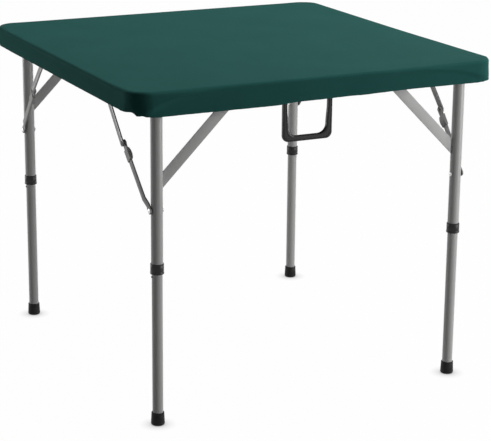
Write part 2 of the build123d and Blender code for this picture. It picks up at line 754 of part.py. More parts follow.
# ---------------------------------------------------- pull-off legs and their feet
for half, fy in HALVES:
    for side, fx in SIDES:
        with BuildPart() as extension:
            with BuildSketch(Plane.XY.offset(foot_base)):
                with Locations((fx * leg_x, fy * leg_y)):
                    Circle(extension_radius)
            extrude(amount=plug_top - foot_base)
            # bead that stops the collar
            bead_z = collar_bottom - stop_bead_drop
            with Locations((fx * (leg_x + extension_radius), fy * leg_y, bead_z)):
                Sphere(stop_bead_radius)
            with BuildSketch(Plane.XY.offset(foot_base)):
                with Locations((fx * leg_x, fy * leg_y)):
                    Circle(extension_radius - extension_wall)
            extrude(amount=plug_top, mode=Mode.SUBTRACT)
        extension.part.label = f"{half}_{side}_extension"
        export_step(extension.part, f"parts/{half}_{side}_extension.step")

        with BuildPart() as foot:
            with BuildSketch(Plane.XY):
                with Locations((fx * leg_x, fy * leg_y)):
                    Circle(foot_radius)
            with BuildSketch(Plane.XY.offset(foot_height)):
                with Locations((fx * leg_x, fy * leg_y)):
                    Circle(foot_top_radius)
            loft()
            fillet(foot.faces().sort_by(Axis.Z)[0].edges(), foot_round)
            with BuildSketch(Plane.XY.offset(foot_base)):
                with Locations((fx * leg_x, fy * leg_y)):
                    Circle(extension_radius + pin_play)
            extrude(amount=foot_height, mode=Mode.SUBTRACT)
        foot.part.label = f"{half}_{side}_foot"
        export_step(foot.part, f"parts/{half}_{side}_foot.step")

# ---------------------------------------------------------------- carry handle
arm_x = handle_width / 2 - handle_arm / 2
ear_offset = handle_arm / 2 + ear_play
handle_bottom = handle_pivot_z - handle_drop
with BuildPart() as handle:
    with BuildSketch(Plane.XZ.offset(handle_y)):
        with Locations((0, handle_pivot_z)):
            Rectangle(handle_width, handle_drop, align=(Align.CENTER, Align.MAX))
        outer_corners = [v for v in vertices() if v.Y < handle_pivot_z - handle_drop / 2]
        fillet(outer_corners, handle_round)
        with BuildLine():
            inner_top = handle_width / 2 - handle_arm
            inner_low = handle_width / 2 - handle_foot_arm
            Polyline(
                (-inner_top, handle_pivot_z),
                (-inner_top, handle_pivot_z - handle_straight),
                (-inner_low, handle_bottom + handle_grip + handle_inner_round),
                (-inner_low, handle_bottom + handle_grip),
                (inner_low, handle_bottom + handle_grip),
                (inner_low, handle_bottom + handle_grip + handle_inner_round),
                (inner_top, handle_pivot_z - handle_straight),
                (inner_top, handle_pivot_z),
                close=True,
            )
        make_face(mode=Mode.SUBTRACT)
    extrude(amount=handle_depth / 2, both=True)
    inner_edges = handle.edges().filter_by(Axis.Y).filter_by(
        lambda edge: abs(edge.center().Z - handle_bottom - handle_grip) < handle_edge
    )
    fillet(inner_edges, handle_inner_round - handle_edge)
    # rounded arm ends with stub axles
    for fx in (-1, 1):
        with BuildSketch(Plane.YZ.offset(fx * (arm_x - handle_arm / 2))):
            with Locations((-handle_y, handle_pivot_z)):
                Circle(handle_depth / 2)
        extrude(amount=fx * handle_arm)
        with BuildSketch(Plane.YZ.offset(fx * arm_x)):
            with Locations((-handle_y, handle_pivot_z)):
                Circle(handle_pin_radius)
        extrude(amount=ear_offset + ear_thickness, both=True)
handle.part.label = "handle"
export_step(handle.part, "parts/handle.step")

with BuildPart() as handle_brackets:
    for fx in (-1, 1):
        for ear in (-1, 1):
            ear_x = fx * arm_x + ear * (ear_offset + ear_thickness / 2)
            with BuildSketch(Plane.YZ.offset(ear_x)):
                with Locations((-handle_y, handle_pivot_z)):
                    Circle(ear_radius)
                with Locations((-handle_y, (handle_pivot_z + plate_bottom) / 2)):
                    Rectangle(2 * ear_radius, plate_bottom - handle_pivot_z)
                with Locations((-handle_y, handle_pivot_z)):
                    Circle(handle_pin_radius + pin_play, mode=Mode.SUBTRACT)
            extrude(amount=ear_thickness / 2, both=True)
        with BuildSketch(Plane.XY.offset(plate_bottom)):
            with Locations((fx * arm_x, -handle_y)):
                Rectangle(2 * (ear_offset + ear_thickness + bracket_flange), 2 * ear_radius)
        extrude(amount=-bracket_plate)
handle_brackets.part.label = "handle_brackets"
export_step(handle_brackets.part, "parts/handle_brackets.step")

# ------------------------------------------------------------ places worth knowing
print("fold axis z", round(fold_axis_z, 3))
print("leg pivot y z", round(leg_y, 3), round(leg_pivot_z, 3))
print("brace pivots", round(brace_leg_z, 3), round(brace_rail_y, 3), "angle", round(brace_angle, 4))
print("links", round(leg_link_length, 3), round(rail_link_length, 3), "at x", leg_link_x, rail_link_x)
print("ring slant", round(slant_angle, 4), "run", round(brace_run_y, 6), round(brace_run_z, 6))
print("handle pivot y z", round(handle_y, 3), round(handle_pivot_z, 3))
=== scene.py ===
# %% [markdown]
# # A folding card table
#
# This lesson dresses a square card table that folds in half like a suitcase.
# The real table is a white blow-moulded top on two steel leg frames, with an
# elastic green cloth pulled over the top.  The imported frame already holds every
# rigid part at its true size, so the work here is to give each part its finish,
# its soft edges and the small forms that a plain solid leaves out.

# %% Load the frame
import json
from math import atan2, copysign, cos, hypot, pi, radians, sin, sqrt

import bmesh
import bpy
from mathutils import Matrix, Vector, noise


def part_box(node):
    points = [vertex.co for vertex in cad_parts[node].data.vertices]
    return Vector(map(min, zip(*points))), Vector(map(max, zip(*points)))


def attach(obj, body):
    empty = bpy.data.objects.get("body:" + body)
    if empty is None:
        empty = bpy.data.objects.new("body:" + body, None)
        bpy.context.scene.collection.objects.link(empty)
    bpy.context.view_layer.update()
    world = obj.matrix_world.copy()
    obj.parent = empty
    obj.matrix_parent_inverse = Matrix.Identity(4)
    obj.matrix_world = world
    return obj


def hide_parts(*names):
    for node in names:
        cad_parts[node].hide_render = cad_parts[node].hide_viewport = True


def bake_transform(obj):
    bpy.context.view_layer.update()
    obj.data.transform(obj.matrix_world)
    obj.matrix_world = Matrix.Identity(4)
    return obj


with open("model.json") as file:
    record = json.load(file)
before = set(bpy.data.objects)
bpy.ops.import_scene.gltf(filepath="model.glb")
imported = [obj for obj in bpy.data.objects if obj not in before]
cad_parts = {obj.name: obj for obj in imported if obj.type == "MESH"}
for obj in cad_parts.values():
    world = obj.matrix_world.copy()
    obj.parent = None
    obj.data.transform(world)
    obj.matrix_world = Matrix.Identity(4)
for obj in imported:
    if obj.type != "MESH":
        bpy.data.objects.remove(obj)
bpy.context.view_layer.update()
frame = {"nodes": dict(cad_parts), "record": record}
nodes = frame["nodes"]
scene = bpy.context.scene
HALVES = {"front": -1, "rear": 1}
SIDES = {"left": -1, "right": 1}
MM = 0.001

# %% [markdown]
# ## Helpers
#
# A few steps come back all through the lesson: an object is made of some data and
# linked to the scene, a bmesh becomes a mesh, and a shader node gets its inputs
# from plain numbers or from the outputs of other nodes.  Each is a short function,
# so that the cells below say what is built rather than how.


# %% Helpers for objects, meshes and nodes
def new_object(name, data):
    """An object of some data, linked to the scene."""
    thing = bpy.data.objects.new(name, data)
    scene.collection.objects.link(thing)
    return thing


def as_mesh(form, name):
    """The mesh of a bmesh, which is then freed."""
    mesh = bpy.data.meshes.new(name)
    form.to_mesh(mesh)
    form.free()
    return mesh


def modified_mesh(thing):
    """The mesh that an object's modifiers leave."""
    bpy.context.view_layer.update()
    graph = bpy.context.evaluated_depsgraph_get()
    return bpy.data.meshes.new_from_object(thing.evaluated_get(graph))


def feed(tree, node, inputs):
    """Set a node's inputs, each to a plain value or to another node's output."""
    for socket, value in inputs.items():
        if isinstance(value, bpy.types.NodeSocket):
            tree.links.new(value, node.inputs[socket])
        else:
            node.inputs[socket].default_value = value


def add_node(tree, kind, inputs):
    """A shader node with its inputs set."""
    node = tree.nodes.new("ShaderNode" + kind)
    feed(tree, node, inputs)
    return node


def calc(tree, operation, *values):
    """The output of a Math node whose inputs are outputs of others or plain numbers."""
    node = tree.nodes.new("ShaderNodeMath")
    node.operation = operation
    feed(tree, node, dict(enumerate(values)))
    return node.outputs[0]


def mix_shaders(tree, share, first, second):
    """The output of a Mix Shader node."""
    return add_node(tree, "MixShader", {0: share, 1: first, 2: second}).outputs[0]


def seen_ray(tree):
    """1 for a ray that shows a surface: from the camera, a reflection or a clear surface."""
    path = tree.nodes.new("ShaderNodeLightPath").outputs
    seen = calc(tree, "MAXIMUM", path["Is Camera Ray"], path["Is Glossy Ray"])
    return calc(tree, "MAXIMUM", seen, path["Is Transmission Ray"])


# %% [markdown]
# ## Camera
#
# A product view from a little above the table, a long way off, so that the legs
# stay nearly parallel.  The camera could be aimed with a Track To constraint, but
# a turn about Z, a tilt and a small roll say exactly the same thing in three
# numbers, and nothing else in the scene depends on them.

# %% Camera
camera_place = (-1.76546, -3.64601, 1.49790)
camera_turn = radians(-26.275)
camera_drop = radians(16.39)
camera_roll = radians(0.539)
turned_view = Matrix.Rotation(camera_turn, 4, "Z") @ Matrix.Rotation(pi / 2 - camera_drop, 4, "X")
lens = bpy.data.cameras.new("product_view")
lens.sensor_width = 36.0
lens.lens = 130.28
lens.clip_end = 60.0
camera = new_object("product_view", lens)
camera.matrix_world = Matrix.Translation(camera_place) @ turned_view @ Matrix.Rotation(camera_roll, 4, "Z")
scene.camera = camera
scene.view_settings.view_transform = "Standard"
print("camera at", [round(value, 3) for value in camera.location])

# %% [markdown]
# ## Studio light
#
# A large soft box hangs overhead and a tall strip stands near the right front
# leg, in a white room.  The strip is close, so its light falls off over the width
# of the table.  A second strip further to the right and two tall boxes behind the
# table give the round legs a bright line on each side.  The world gives the weak
# light of the room to every surface, but shows as white where the camera looks at
# it, and a little dimmer in reflections, which is what Light Path is for.

# %% World
shown_glow, mirrored_glow, room_glow = 1.0, 0.8, 0.10
room = bpy.data.worlds.new("white_room")
scene.world = room
room.use_nodes = True
tree = room.node_tree
tree.nodes.clear()
from_camera = tree.nodes.new("ShaderNodeLightPath").outputs["Is Camera Ray"]
glow = calc(tree, "MULTIPLY_ADD", from_camera, shown_glow - mirrored_glow, mirrored_glow)
dim_room = add_node(tree, "Background", {"Strength": room_glow})
white_room = add_node(tree, "Background", {"Color": (1, 1, 1, 1), "Strength": glow})
room_look = mix_shaders(tree, seen_ray(tree), dim_room.outputs[0], white_room.outputs[0])
add_node(tree, "OutputWorld", {"Surface": room_look})


# %% Lamps
def soft_box(name, place, aim, size, watts):
    """A rectangular lamp at place that looks at aim."""
    lamp = bpy.data.lights.new(name, "AREA")
    lamp.shape = "RECTANGLE"
    lamp.size, lamp.size_y = size
    lamp.energy = watts
    look = (Vector(aim) - Vector(place)).to_track_quat("-Z", "Y")
    stand = new_object(name, lamp)
    stand.matrix_world = Matrix.Translation(place) @ look.to_matrix().to_4x4()


soft_box("overhead_box", (1.5, 0.3, 4.0), (0.2, 0, 0.7), (1.6, 1.6), 102)
soft_box("front_strip", (1.75, -1.95, 0.85), (0.1, 0, 0.5), (0.45, 1.7), 31)
soft_box("right_strip", (3.8, -1.95, 0.85), (0, 0, 0.45), (1.0, 1.7), 30)
soft_box("right_fill", (3.3, 1.9, 0.9), (0, 0, 0.45), (0.8, 1.8), 40)
soft_box("left_fill", (-2.35, 2.45, 0.8), (0, 0, 0.45), (0.8, 1.8), 38)

# %% [markdown]
# ## Floor
#
# The floor is plain and pale.  To the camera it is almost the white of the room,
# and a little of its real light is mixed in so that the shadows stay.  Ambient
# Occlusion darkens it only within a few centimetres of the feet, where the real
# floor has its contact shadow.  Its underside is clear, so that a camera placed
# below it sees the parts under the top.

# %% Floor
floor_form = bmesh.new()
bmesh.ops.create_grid(floor_form, x_segments=1, y_segments=1, size=12.0)
floor = new_object("floor", as_mesh(floor_form, "floor"))

floor_grey = (0.3, 0.3, 0.3, 1)
real_share = 0.012
shadow_reach = 28 * MM
floor_paint = bpy.data.materials.new("pale_floor")
floor_paint.use_nodes = True
floor.data.materials.append(floor_paint)
tree = floor_paint.node_tree
tree.nodes.clear()
real_floor = add_node(tree, "BsdfDiffuse", {"Color": floor_grey}).outputs[0]
near_feet = add_node(tree, "AmbientOcclusion", {"Distance": shadow_reach})
near_feet.samples = 16
shade = add_node(tree, "MapRange", {
    "Value": near_feet.outputs["AO"], "From Min": 0.35, "From Max": 1.0, "To Min": 0.45, "To Max": 1.0,
}).outputs[0]
white_floor = add_node(tree, "Emission", {"Strength": shade}).outputs[0]
shown_floor = mix_shaders(tree, real_share, white_floor, real_floor)
upper_side = mix_shaders(tree, seen_ray(tree), real_floor, shown_floor)
clear_side = tree.nodes.new("ShaderNodeBsdfTransparent").outputs[0]
from_below = tree.nodes.new("ShaderNodeNewGeometry").outputs["Backfacing"]
add_node(tree, "OutputMaterial", {"Surface": mix_shaders(tree, from_below, upper_side, clear_side)})

# %% [markdown]
# ## Shared effects
#
# Several finishes need the same surface effects, so each effect is one node group
# with named sockets: grain for moulded plastic and powder coat, wear on the edges
# of painted steel, handling marks, and the knit of the cloth.  A group is built
# once and then placed in each material with its own numbers.  The groups put out
# only values, and the colours and the shader stay in the material.  Edges are found
# with Ambient Occlusion turned inwards: close to an edge, a short ray that is sent
# into the steel soon leaves it again.


# %% Helpers for node groups
def effect_group(name, numbers, gives):
    """A node group that takes a surface place and numbers; returns it, what it takes and its end."""
    group = bpy.data.node_groups.new(name, "ShaderNodeTree")
    group.interface.new_socket("Place", in_out="INPUT", socket_type="NodeSocketVector")
    for socket, value in numbers.items():
        made = group.interface.new_socket(socket, in_out="INPUT", socket_type="NodeSocketFloat")
        made.default_value = value
    for socket in gives:
        group.interface.new_socket(socket, in_out="OUTPUT", socket_type="NodeSocketFloat")
    takes = group.nodes.new("NodeGroupInput").outputs
    return group, takes, group.nodes.new("NodeGroupOutput")


def noise_value(tree, place, scale, detail, roughness=0.5):
    """The value of a Noise Texture at a place."""
    inputs = {"Vector": place, "Scale": scale, "Detail": detail, "Roughness": roughness}
    return add_node(tree, "TexNoise", inputs).outputs["Fac"]


# %% Moulded grain
tree, takes, sink = effect_group("moulded_grain", {"Size": 900.0}, ("Height", "Patches"))
pebbles = tree.nodes.new("ShaderNodeTexVoronoi")
pebbles.feature = "SMOOTH_F1"
feed(tree, pebbles, {"Vector": takes["Place"], "Scale": takes["Size"], "Smoothness": 0.6})
speckle = noise_value(tree, takes["Place"], takes["Size"], 3.0)
grain_height = calc(tree, "ADD", pebbles.outputs["Distance"], speckle)
feed(tree, sink, {"Height": grain_height, "Patches": noise_value(tree, takes["Place"], 14.0, 4.0)})

# %% Edge wear
edge_gain, break_level, break_gain = 1.8, 0.42, 5.0
tree, takes, sink = effect_group("edge_wear", {"Radius": 1.2 * MM, "Amount": 1.0}, ("Mask",))
edge_finder = add_node(tree, "AmbientOcclusion", {"Distance": takes["Radius"]})
edge_finder.samples = 8
edge_finder.inside = True
edge_finder.only_local = True
edge_share = calc(tree, "MULTIPLY", calc(tree, "SUBTRACT", 1.0, edge_finder.outputs["AO"]), edge_gain)
broken = calc(tree, "SUBTRACT", noise_value(tree, takes["Place"], 160.0, 5.0), break_level)
worn = calc(tree, "MULTIPLY", edge_share, calc(tree, "MULTIPLY", broken, break_gain))
worn = calc(tree, "MULTIPLY", worn, takes["Amount"])
feed(tree, sink, {"Mask": calc(tree, "MINIMUM", calc(tree, "MAXIMUM", worn, 0.0), 1.0)})

# %% Handling marks
dust_level, dust_gain, rub_level = 0.45, 3.0, 0.5
tree, takes, sink = effect_group("handling_marks", {"Amount": 0.5}, ("Dust", "Rubbed"))
clouds = noise_value(tree, takes["Place"], 9.0, 6.0, roughness=0.65)
dust = calc(tree, "MAXIMUM", calc(tree, "SUBTRACT", clouds, dust_level), 0.0)
dust = calc(tree, "MULTIPLY", calc(tree, "MULTIPLY", dust, dust_gain), takes["Amount"])
stretch = add_node(tree, "Mapping", {"Vector": takes["Place"], "Scale": (140.0, 140.0, 7.0)})
rubbed = calc(tree, "SUBTRACT", noise_value(tree, stretch.outputs[0], 1.0, 3.0), rub_level)
feed(tree, sink, {"Dust": dust, "Rubbed": calc(tree, "MULTIPLY", rubbed, takes["Amount"])})

# %% Knit of the cloth
pitches = {"Wale pitch": 1.1 * MM, "Course pitch": 0.8 * MM}
loop_share = 0.3
tree, takes, sink = effect_group("jersey_knit", pitches, ("Height", "Shade"))
flat = add_node(tree, "SeparateXYZ", {0: takes["Place"]}).outputs
wale = calc(tree, "FRACT", calc(tree, "DIVIDE", flat["X"], takes["Wale pitch"]))
wale = calc(tree, "ABSOLUTE", calc(tree, "SUBTRACT", wale, 0.5))
course = calc(tree, "ADD", calc(tree, "DIVIDE", flat["Y"], takes["Course pitch"]), wale)
loop_wave = calc(tree, "SINE", calc(tree, "MULTIPLY", course, 2 * pi))
wale_wave = calc(tree, "SINE", calc(tree, "MULTIPLY", wale, 2 * pi))
knit_height = calc(tree, "ADD", calc(tree, "MULTIPLY", loop_wave, loop_share), wale_wave)
feed(tree, sink, {"Height": knit_height, "Shade": noise_value(tree, takes["Place"], 7.0, 5.0)})
print("effects:", [group.name for group in bpy.data.node_groups])

# %% [markdown]
# ## Finishes
#
# Each finish is one Principled material.  Its plain numbers sit on the shader's
# own sockets, and only what changes over the surface comes in through nodes.
# Rigid parts read Object coordinates, because every object sits unturned at the
# origin, so a pattern keeps its scale in metres and stays put.  The white top also
# reads Ambient Occlusion of its own mesh, which finds the deep pockets and the rim
# flutes and paints shade into them as a darker colour.


# %% Helpers for finishes
# painted shade in hollows: the Ambient Occlusion level below which the colour darkens, and how fast
cavity_shade_level, cavity_shade_gain = 0.85, 1.6


def plain_finish(name, color, roughness, metallic=0.0, specular=0.5):
    """A Principled material with its plain numbers set; returns it with its tree and shader."""
    finish = bpy.data.materials.new(name)
    finish.use_nodes = True
    finish.diffuse_color = (*color, 1)
    shader = finish.node_tree.nodes["Principled BSDF"]
    feed(finish.node_tree, shader, {
        "Base Color": (*color, 1), "Roughness": roughness, "Metallic": metallic,
        "Specular IOR Level": specular,
    })
    return finish, finish.node_tree, shader


def place_effect(tree, name, place, **numbers):
    """The outputs of an effect group that is put in a material and fed the surface place."""
    node = tree.nodes.new("ShaderNodeGroup")
    node.node_tree = bpy.data.node_groups[name]
    feed(tree, node, {"Place": place, **numbers})
    return node.outputs


def tint(tree, share, first, second):
    """Mix two colours by an output; a colour may be an output or three numbers."""
    mix = tree.nodes.new("ShaderNodeMix")
    mix.data_type = "RGBA"
    first, second = [(*color, 1) if isinstance(color, tuple) else color for color in (first, second)]
    feed(tree, mix, {"Factor": share, 6: first, 7: second})
    return mix.outputs[2]


def raise_surface(tree, shader, height, distance, strength):
    """Bump from a height into the shader's normal."""
    bump = add_node(tree, "Bump", {"Distance": distance, "Strength": strength, "Height": height})
    feed(tree, shader, {"Normal": bump.outputs["Normal"]})


def rigid_finish(name, color, roughness, dust, wear=None, cavity_shade=None, grain=None, uneven=None, **plain):
    """A finish for a rigid part.

    dust is an amount and a colour, wear a radius, an amount and a colour, cavity_shade a reach and
    the colour of the shade painted into hollows that Ambient Occlusion finds, grain a size, a height
    and a strength, and uneven an effect's output with its share of the roughness and the roughness without
    it.
    """
    finish, tree, shader = plain_finish(name, color, roughness, **plain)
    place = tree.nodes.new("ShaderNodeTexCoord").outputs["Object"]
    dust_amount, dust_color = dust
    effects = dict(place_effect(tree, "handling_marks", place, Amount=dust_amount).items())
    skin = tint(tree, effects["Dust"], color, dust_color)
    if wear:
        wear_radius, wear_amount, wear_color = wear
        worn = place_effect(tree, "edge_wear", place, Radius=wear_radius, Amount=wear_amount)["Mask"]
        skin = tint(tree, worn, skin, wear_color)
        feed(tree, shader, {"Metallic": worn})
    # painted shade: the colour darkens where Ambient Occlusion finds a hollow
    if cavity_shade:
        cavity_shade_reach, cavity_shade_color = cavity_shade
        hollow = add_node(tree, "AmbientOcclusion", {"Distance": cavity_shade_reach})
        hollow.samples = 12
        hollow.only_local = True
        depth = calc(tree, "MAXIMUM", calc(tree, "SUBTRACT", cavity_shade_level, hollow.outputs["AO"]), 0.0)
        skin = tint(tree, calc(tree, "MULTIPLY", depth, cavity_shade_gain), skin, cavity_shade_color)
    if grain:
        grain_size, grain_height, grain_strength = grain
        effects.update(place_effect(tree, "moulded_grain", place, Size=grain_size).items())
        raise_surface(tree, shader, effects["Height"], grain_height, grain_strength)
    if uneven:
        effect, share, base = uneven
        feed(tree, shader, {"Roughness": calc(tree, "MULTIPLY_ADD", effects[effect], share, base)})
    feed(tree, shader, {"Base Color": skin})
    return finish


# %% Powder coats on steel
bare_steel = (0.60, 0.59, 0.58)
tube_steel = rigid_finish(
    "grey_powder_coat", (0.40, 0.40, 0.395), 0.34, dust=(0.5, (0.44, 0.435, 0.425)),
    wear=(1.0 * MM, 0.5, bare_steel), grain=(1500.0, 0.04 * MM, 0.5), uneven=("Rubbed", 0.5, 0.34),
)
# the strap coat is duller, and painted lighter than the tube coat for the light on the straps
lit_strap_steel = rigid_finish(
    "strap_coat_painted_light", (0.47, 0.47, 0.465), 0.55, dust=(0.5, (0.51, 0.505, 0.495)),
    wear=(1.0 * MM, 0.5, bare_steel), grain=(1100.0, 0.06 * MM, 0.6), specular=0.25,
)
# the brace coat is darker than the tube coat, and part of that darkness is painted shade on the braces
shaded_brace_steel = rigid_finish(
    "brace_coat_painted_shade", (0.18, 0.18, 0.176), 0.32, dust=(0.6, (0.22, 0.216, 0.208)),
    wear=(0.8 * MM, 0.7, (0.52, 0.51, 0.49)), grain=(1500.0, 0.04 * MM, 0.5), specular=0.4,
)

# %% Plastic, rubber and zinc
black_plastic = rigid_finish(
    "black_moulded_plastic", (0.010, 0.010, 0.011), 0.36, dust=(0.6, (0.022, 0.022, 0.023)),
    grain=(1100.0, 0.06 * MM, 0.6), uneven=("Patches", 0.25, 0.24), specular=0.28,
)
black_rubber = rigid_finish(
    "black_rubber", (0.008, 0.008, 0.008), 0.6, dust=(1.0, (0.045, 0.044, 0.042)),
    grain=(700.0, 0.1 * MM, 0.7), specular=0.18,
)
# the top's pockets and rim flutes get painted shade from Ambient Occlusion, nearly black
white_top = rigid_finish(
    "white_moulded_top", (0.80, 0.81, 0.81), 0.45, dust=(0.35, (0.70, 0.69, 0.66)),
    cavity_shade=(12 * MM, (0.07, 0.07, 0.072)), grain=(420.0, 0.12 * MM, 0.6),
)
bright_steel = rigid_finish(
    "bright_zinc", (0.62, 0.62, 0.62), 0.28, dust=(0.8, (0.42, 0.42, 0.41)), metallic=1.0,
)
yellow_zinc = rigid_finish(
    "yellow_zinc", (0.50, 0.42, 0.26), 0.36, dust=(1.0, (0.36, 0.36, 0.27)), metallic=1.0,
)

# %% Green cloth
dark_green, light_green = (0.0160, 0.0840, 0.0755), (0.0250, 0.1130, 0.1005)
gap_green, mean_green = (0.011, 0.058, 0.052), (0.0205, 0.0985, 0.0880)
gap_share = 0.18
green_cloth, tree, shader = plain_finish("green_stretch_cloth", mean_green, 0.9, specular=0.04)
flat_map = tree.nodes.new("ShaderNodeUVMap")
flat_map.uv_map = "flat_cloth"
knit = place_effect(tree, "jersey_knit", flat_map.outputs["UV"])
skin = tint(tree, knit["Shade"], dark_green, light_green)
skin = tint(tree, calc(tree, "MULTIPLY_ADD", knit["Height"], gap_share, gap_share), skin, gap_green)
feed(tree, shader, {
    "Base Color": skin, "Sheen Weight": 0.02, "Sheen Roughness": 0.45, "Sheen Tint": (0.35, 0.75, 0.70, 1),
})
raise_surface(tree, shader, knit["Height"], 0.12 * MM, 0.5)

finishes = {
    "grey_steel": tube_steel,
    "black_plastic": black_plastic,
    "black_rubber": black_rubber,
    "moulded_top": white_top,
    "bright_steel": bright_steel,
    "yellow_zinc": yellow_zinc,
    "cover_cloth": green_cloth,
}
print("finishes:", sorted(finishes))

# %% [markdown]
# ## Finishes on the imported nodes
#
# The record names a material slot for every node, so each imported node simply
# takes the finish of its slot.  Only pressed steel differs: the folding braces and
# their lock rings have a thinner and darker coat than the tubes, part of whose
# darkness is painted shade, and the flat straps a duller coat, painted lighter than
# the tubes for the light they catch.
# The tubes, rails and lock rings have their right shape already and stay as they
# are; the others are replaced below.

# %% Give every imported node its finish
for part in frame["record"]["subparts"]:
    mesh = nodes[part["node"]].data
    mesh.materials.clear()
    on_brace = part["node"].endswith("lock_ring")
    # the lock rings take the darker brace coat, part of whose darkness is painted shade
    mesh.materials.append(shaded_brace_steel if on_brace else finishes[part["material_slot"]])


# %% [markdown]
# ## Turning a bmesh into a piece
#
# Every new piece ends the same way: doubles are merged, the normals point out,
# the faces are smooth with sharp edges kept above an angle, and the piece rides
# on its body in place of its plain solid.

# %% Helpers for pieces
merge_reach = 2e-6
sharp_angle = radians(40)
unturned = Matrix.Identity(4)


def finished(name, form, slot, body, replaced=(), smooth=35, merge=1e-6, finish=None):
    """Make an object of a bmesh, give it its finish and let it ride on a body."""
    bmesh.ops.remove_doubles(form, verts=form.verts, dist=merge)
    bmesh.ops.recalc_face_normals(form, faces=form.faces)
    mesh = as_mesh(form, name)
    mesh.materials.append(finish or finishes[slot])
    mesh.shade_smooth()
    mesh.set_sharp_from_angle(angle=radians(smooth))
    piece = new_object(name, mesh)
    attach(piece, body)
    if replaced:
        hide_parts(*replaced)
    return piece


def merged_copy(node):
    """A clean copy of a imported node: doubles merged and flat faces joined."""
    form = bmesh.new()
    form.from_mesh(nodes[node].data)
    bmesh.ops.remove_doubles(form, verts=form.verts, dist=merge_reach)
    bmesh.ops.dissolve_limit(form, angle_limit=radians(0.6), verts=form.verts, edges=form.edges)
    return form


def softened(node, name, slot, body, width, segments=2, finish=None):
    """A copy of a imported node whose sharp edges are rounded; the width is in millimetres."""
    form = merged_copy(node)
    sharp = [
        edge for edge in form.edges
        if len(edge.link_faces) == 2 and edge.calc_face_angle(0) > sharp_angle
    ]
    bmesh.ops.bevel(
        form, geom=sharp, offset=width * MM, offset_type="OFFSET", segments=segments, profile=0.5,
        affect="EDGES", material=-1, clamp_overlap=True,
    )
    finished(name, form, slot, body, [node], finish=finish)


def stamp(target, mesh, place, turn=unturned):
    """Add a mesh to a bmesh, turned and then moved to a place."""
    before = len(target.verts)
    target.from_mesh(mesh)
    target.verts.ensure_lookup_table()
    matrix = Matrix.Translation(place) @ turn
    bmesh.ops.transform(target, matrix=matrix, verts=target.verts[before:])


def turned(profile, steps):
    """A mesh spun about Z from points of (radius, height) in millimetres."""
    form = bmesh.new()
    points = [form.verts.new((radius * MM, 0, height * MM)) for radius, height in profile]
    line = [form.edges.new(pair) for pair in zip(points, points[1:])]
    bmesh.ops.spin(form, geom=points + line, axis=(0, 0, 1), angle=2 * pi, steps=steps, use_merge=True)
    bmesh.ops.remove_doubles(form, verts=form.verts, dist=1e-6)
    bmesh.ops.recalc_face_normals(form, faces=form.faces)
    return as_mesh(form, "turned")


def pin(radius, length, chamfer=0.0, steps=20):
    """A round pin that stands on z = 0, with its ends chamfered or not; sizes in millimetres."""
    side = [(radius, chamfer), (radius, length - chamfer)]
    if chamfer:
        side = [(radius - chamfer, 0), *side, (radius - chamfer, length)]
    return turned([(0, 0), *side, (0, length)], steps)


def push_face(form, face, keep):
    """Extrude a face and return the new one; the old one is kept only where it closes the start."""
    grown = bmesh.ops.extrude_face_region(form, geom=[face])["geom"]
    if not keep:
        bmesh.ops.delete(form, geom=[face], context="FACES_ONLY")
    return [item for item in grown if isinstance(item, bmesh.types.BMFace)][0]


def grow_rim(form, rim):
    """Extrude the edges of an open rim; returns the new edges and their vertices."""
    grown = bmesh.ops.extrude_edge_only(form, edges=rim)["geom"]
    rim = [item for item in grown if isinstance(item, bmesh.types.BMEdge) and item.is_boundary]
    return rim, {vert for edge in rim for vert in edge.verts}


def middle(node):
    """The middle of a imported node's box."""
    low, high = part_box(node)
    return (Vector(low) + Vector(high)) / 2


# %% [markdown]
# ## Moulded top
#
# The underside of a blow-moulded top is covered with short tack-off pockets,
# where the two walls are pinched together, turned alternately along and across.
# The rim has a row of small flutes inside.  Modelling them one by one in a single
# surface would be slow, so one pocket is made, copied over a grid, and all of
# them are cut out of the plain half in one Boolean step.

# %% One pocket and one flute
pocket_length = 22 * MM
pocket_width = 8 * MM
pocket_depth = 9.4 * MM
pocket_pitch = 37.5 * MM


def pocket_mesh():
    """A slot with a soft mouth that starts just below z = 0, so that it cuts the plate's face."""
    form = bmesh.new()
    half_step = Matrix.Rotation(pi / 16, 4, "Z")
    bmesh.ops.create_circle(form, cap_ends=True, segments=16, radius=pocket_width / 2, matrix=half_step)
    levels = (
        (-1 * MM, 1.30), (0.0, 1.20), (0.5 * MM, 1.06), (1.4 * MM, 0.98),
        (pocket_depth - 1.4 * MM, 0.86), (pocket_depth - 0.4 * MM, 0.72), (pocket_depth, 0.50),
    )
    face = form.faces[:][0]
    round_end = [vert.co.copy() for vert in face.verts]
    half_straight = (pocket_length - pocket_width) / 2
    for number, (height, share) in enumerate(levels):
        if number > 0:
            face = push_face(form, face, keep=number == 1)
        for vert, spot in zip(face.verts, round_end):
            vert.co = (spot.x * share + copysign(half_straight, spot.x), spot.y * share, height)
    bmesh.ops.recalc_face_normals(form, faces=form.faces)
    return as_mesh(form, "pocket")


def flute_mesh():
    """A round groove for the inside of the rim, standing on z = 0."""
    form = bmesh.new()
    tall = 20 * MM
    bmesh.ops.create_cone(form, cap_ends=True, segments=10, radius1=5 * MM, radius2=4 * MM, depth=tall)
    bmesh.ops.translate(form, vec=(0, 0, tall / 2), verts=form.verts)
    return as_mesh(form, "flute")


pocket = pocket_mesh()
flute = flute_mesh()
print("pocket faces", len(pocket.polygons), "flute faces", len(flute.polygons))

# %% [markdown]
# The pockets keep clear of everything that is screwed to the plate, as on the
# real moulding, where flat pads are left for the rails, brackets and clips.
#
# The rim's lower edge is rounded off at the four corners, where the elastic of the
# cover pulls hardest.  The cover follows the same rounding later, so the rule for
# it is a function that both use.

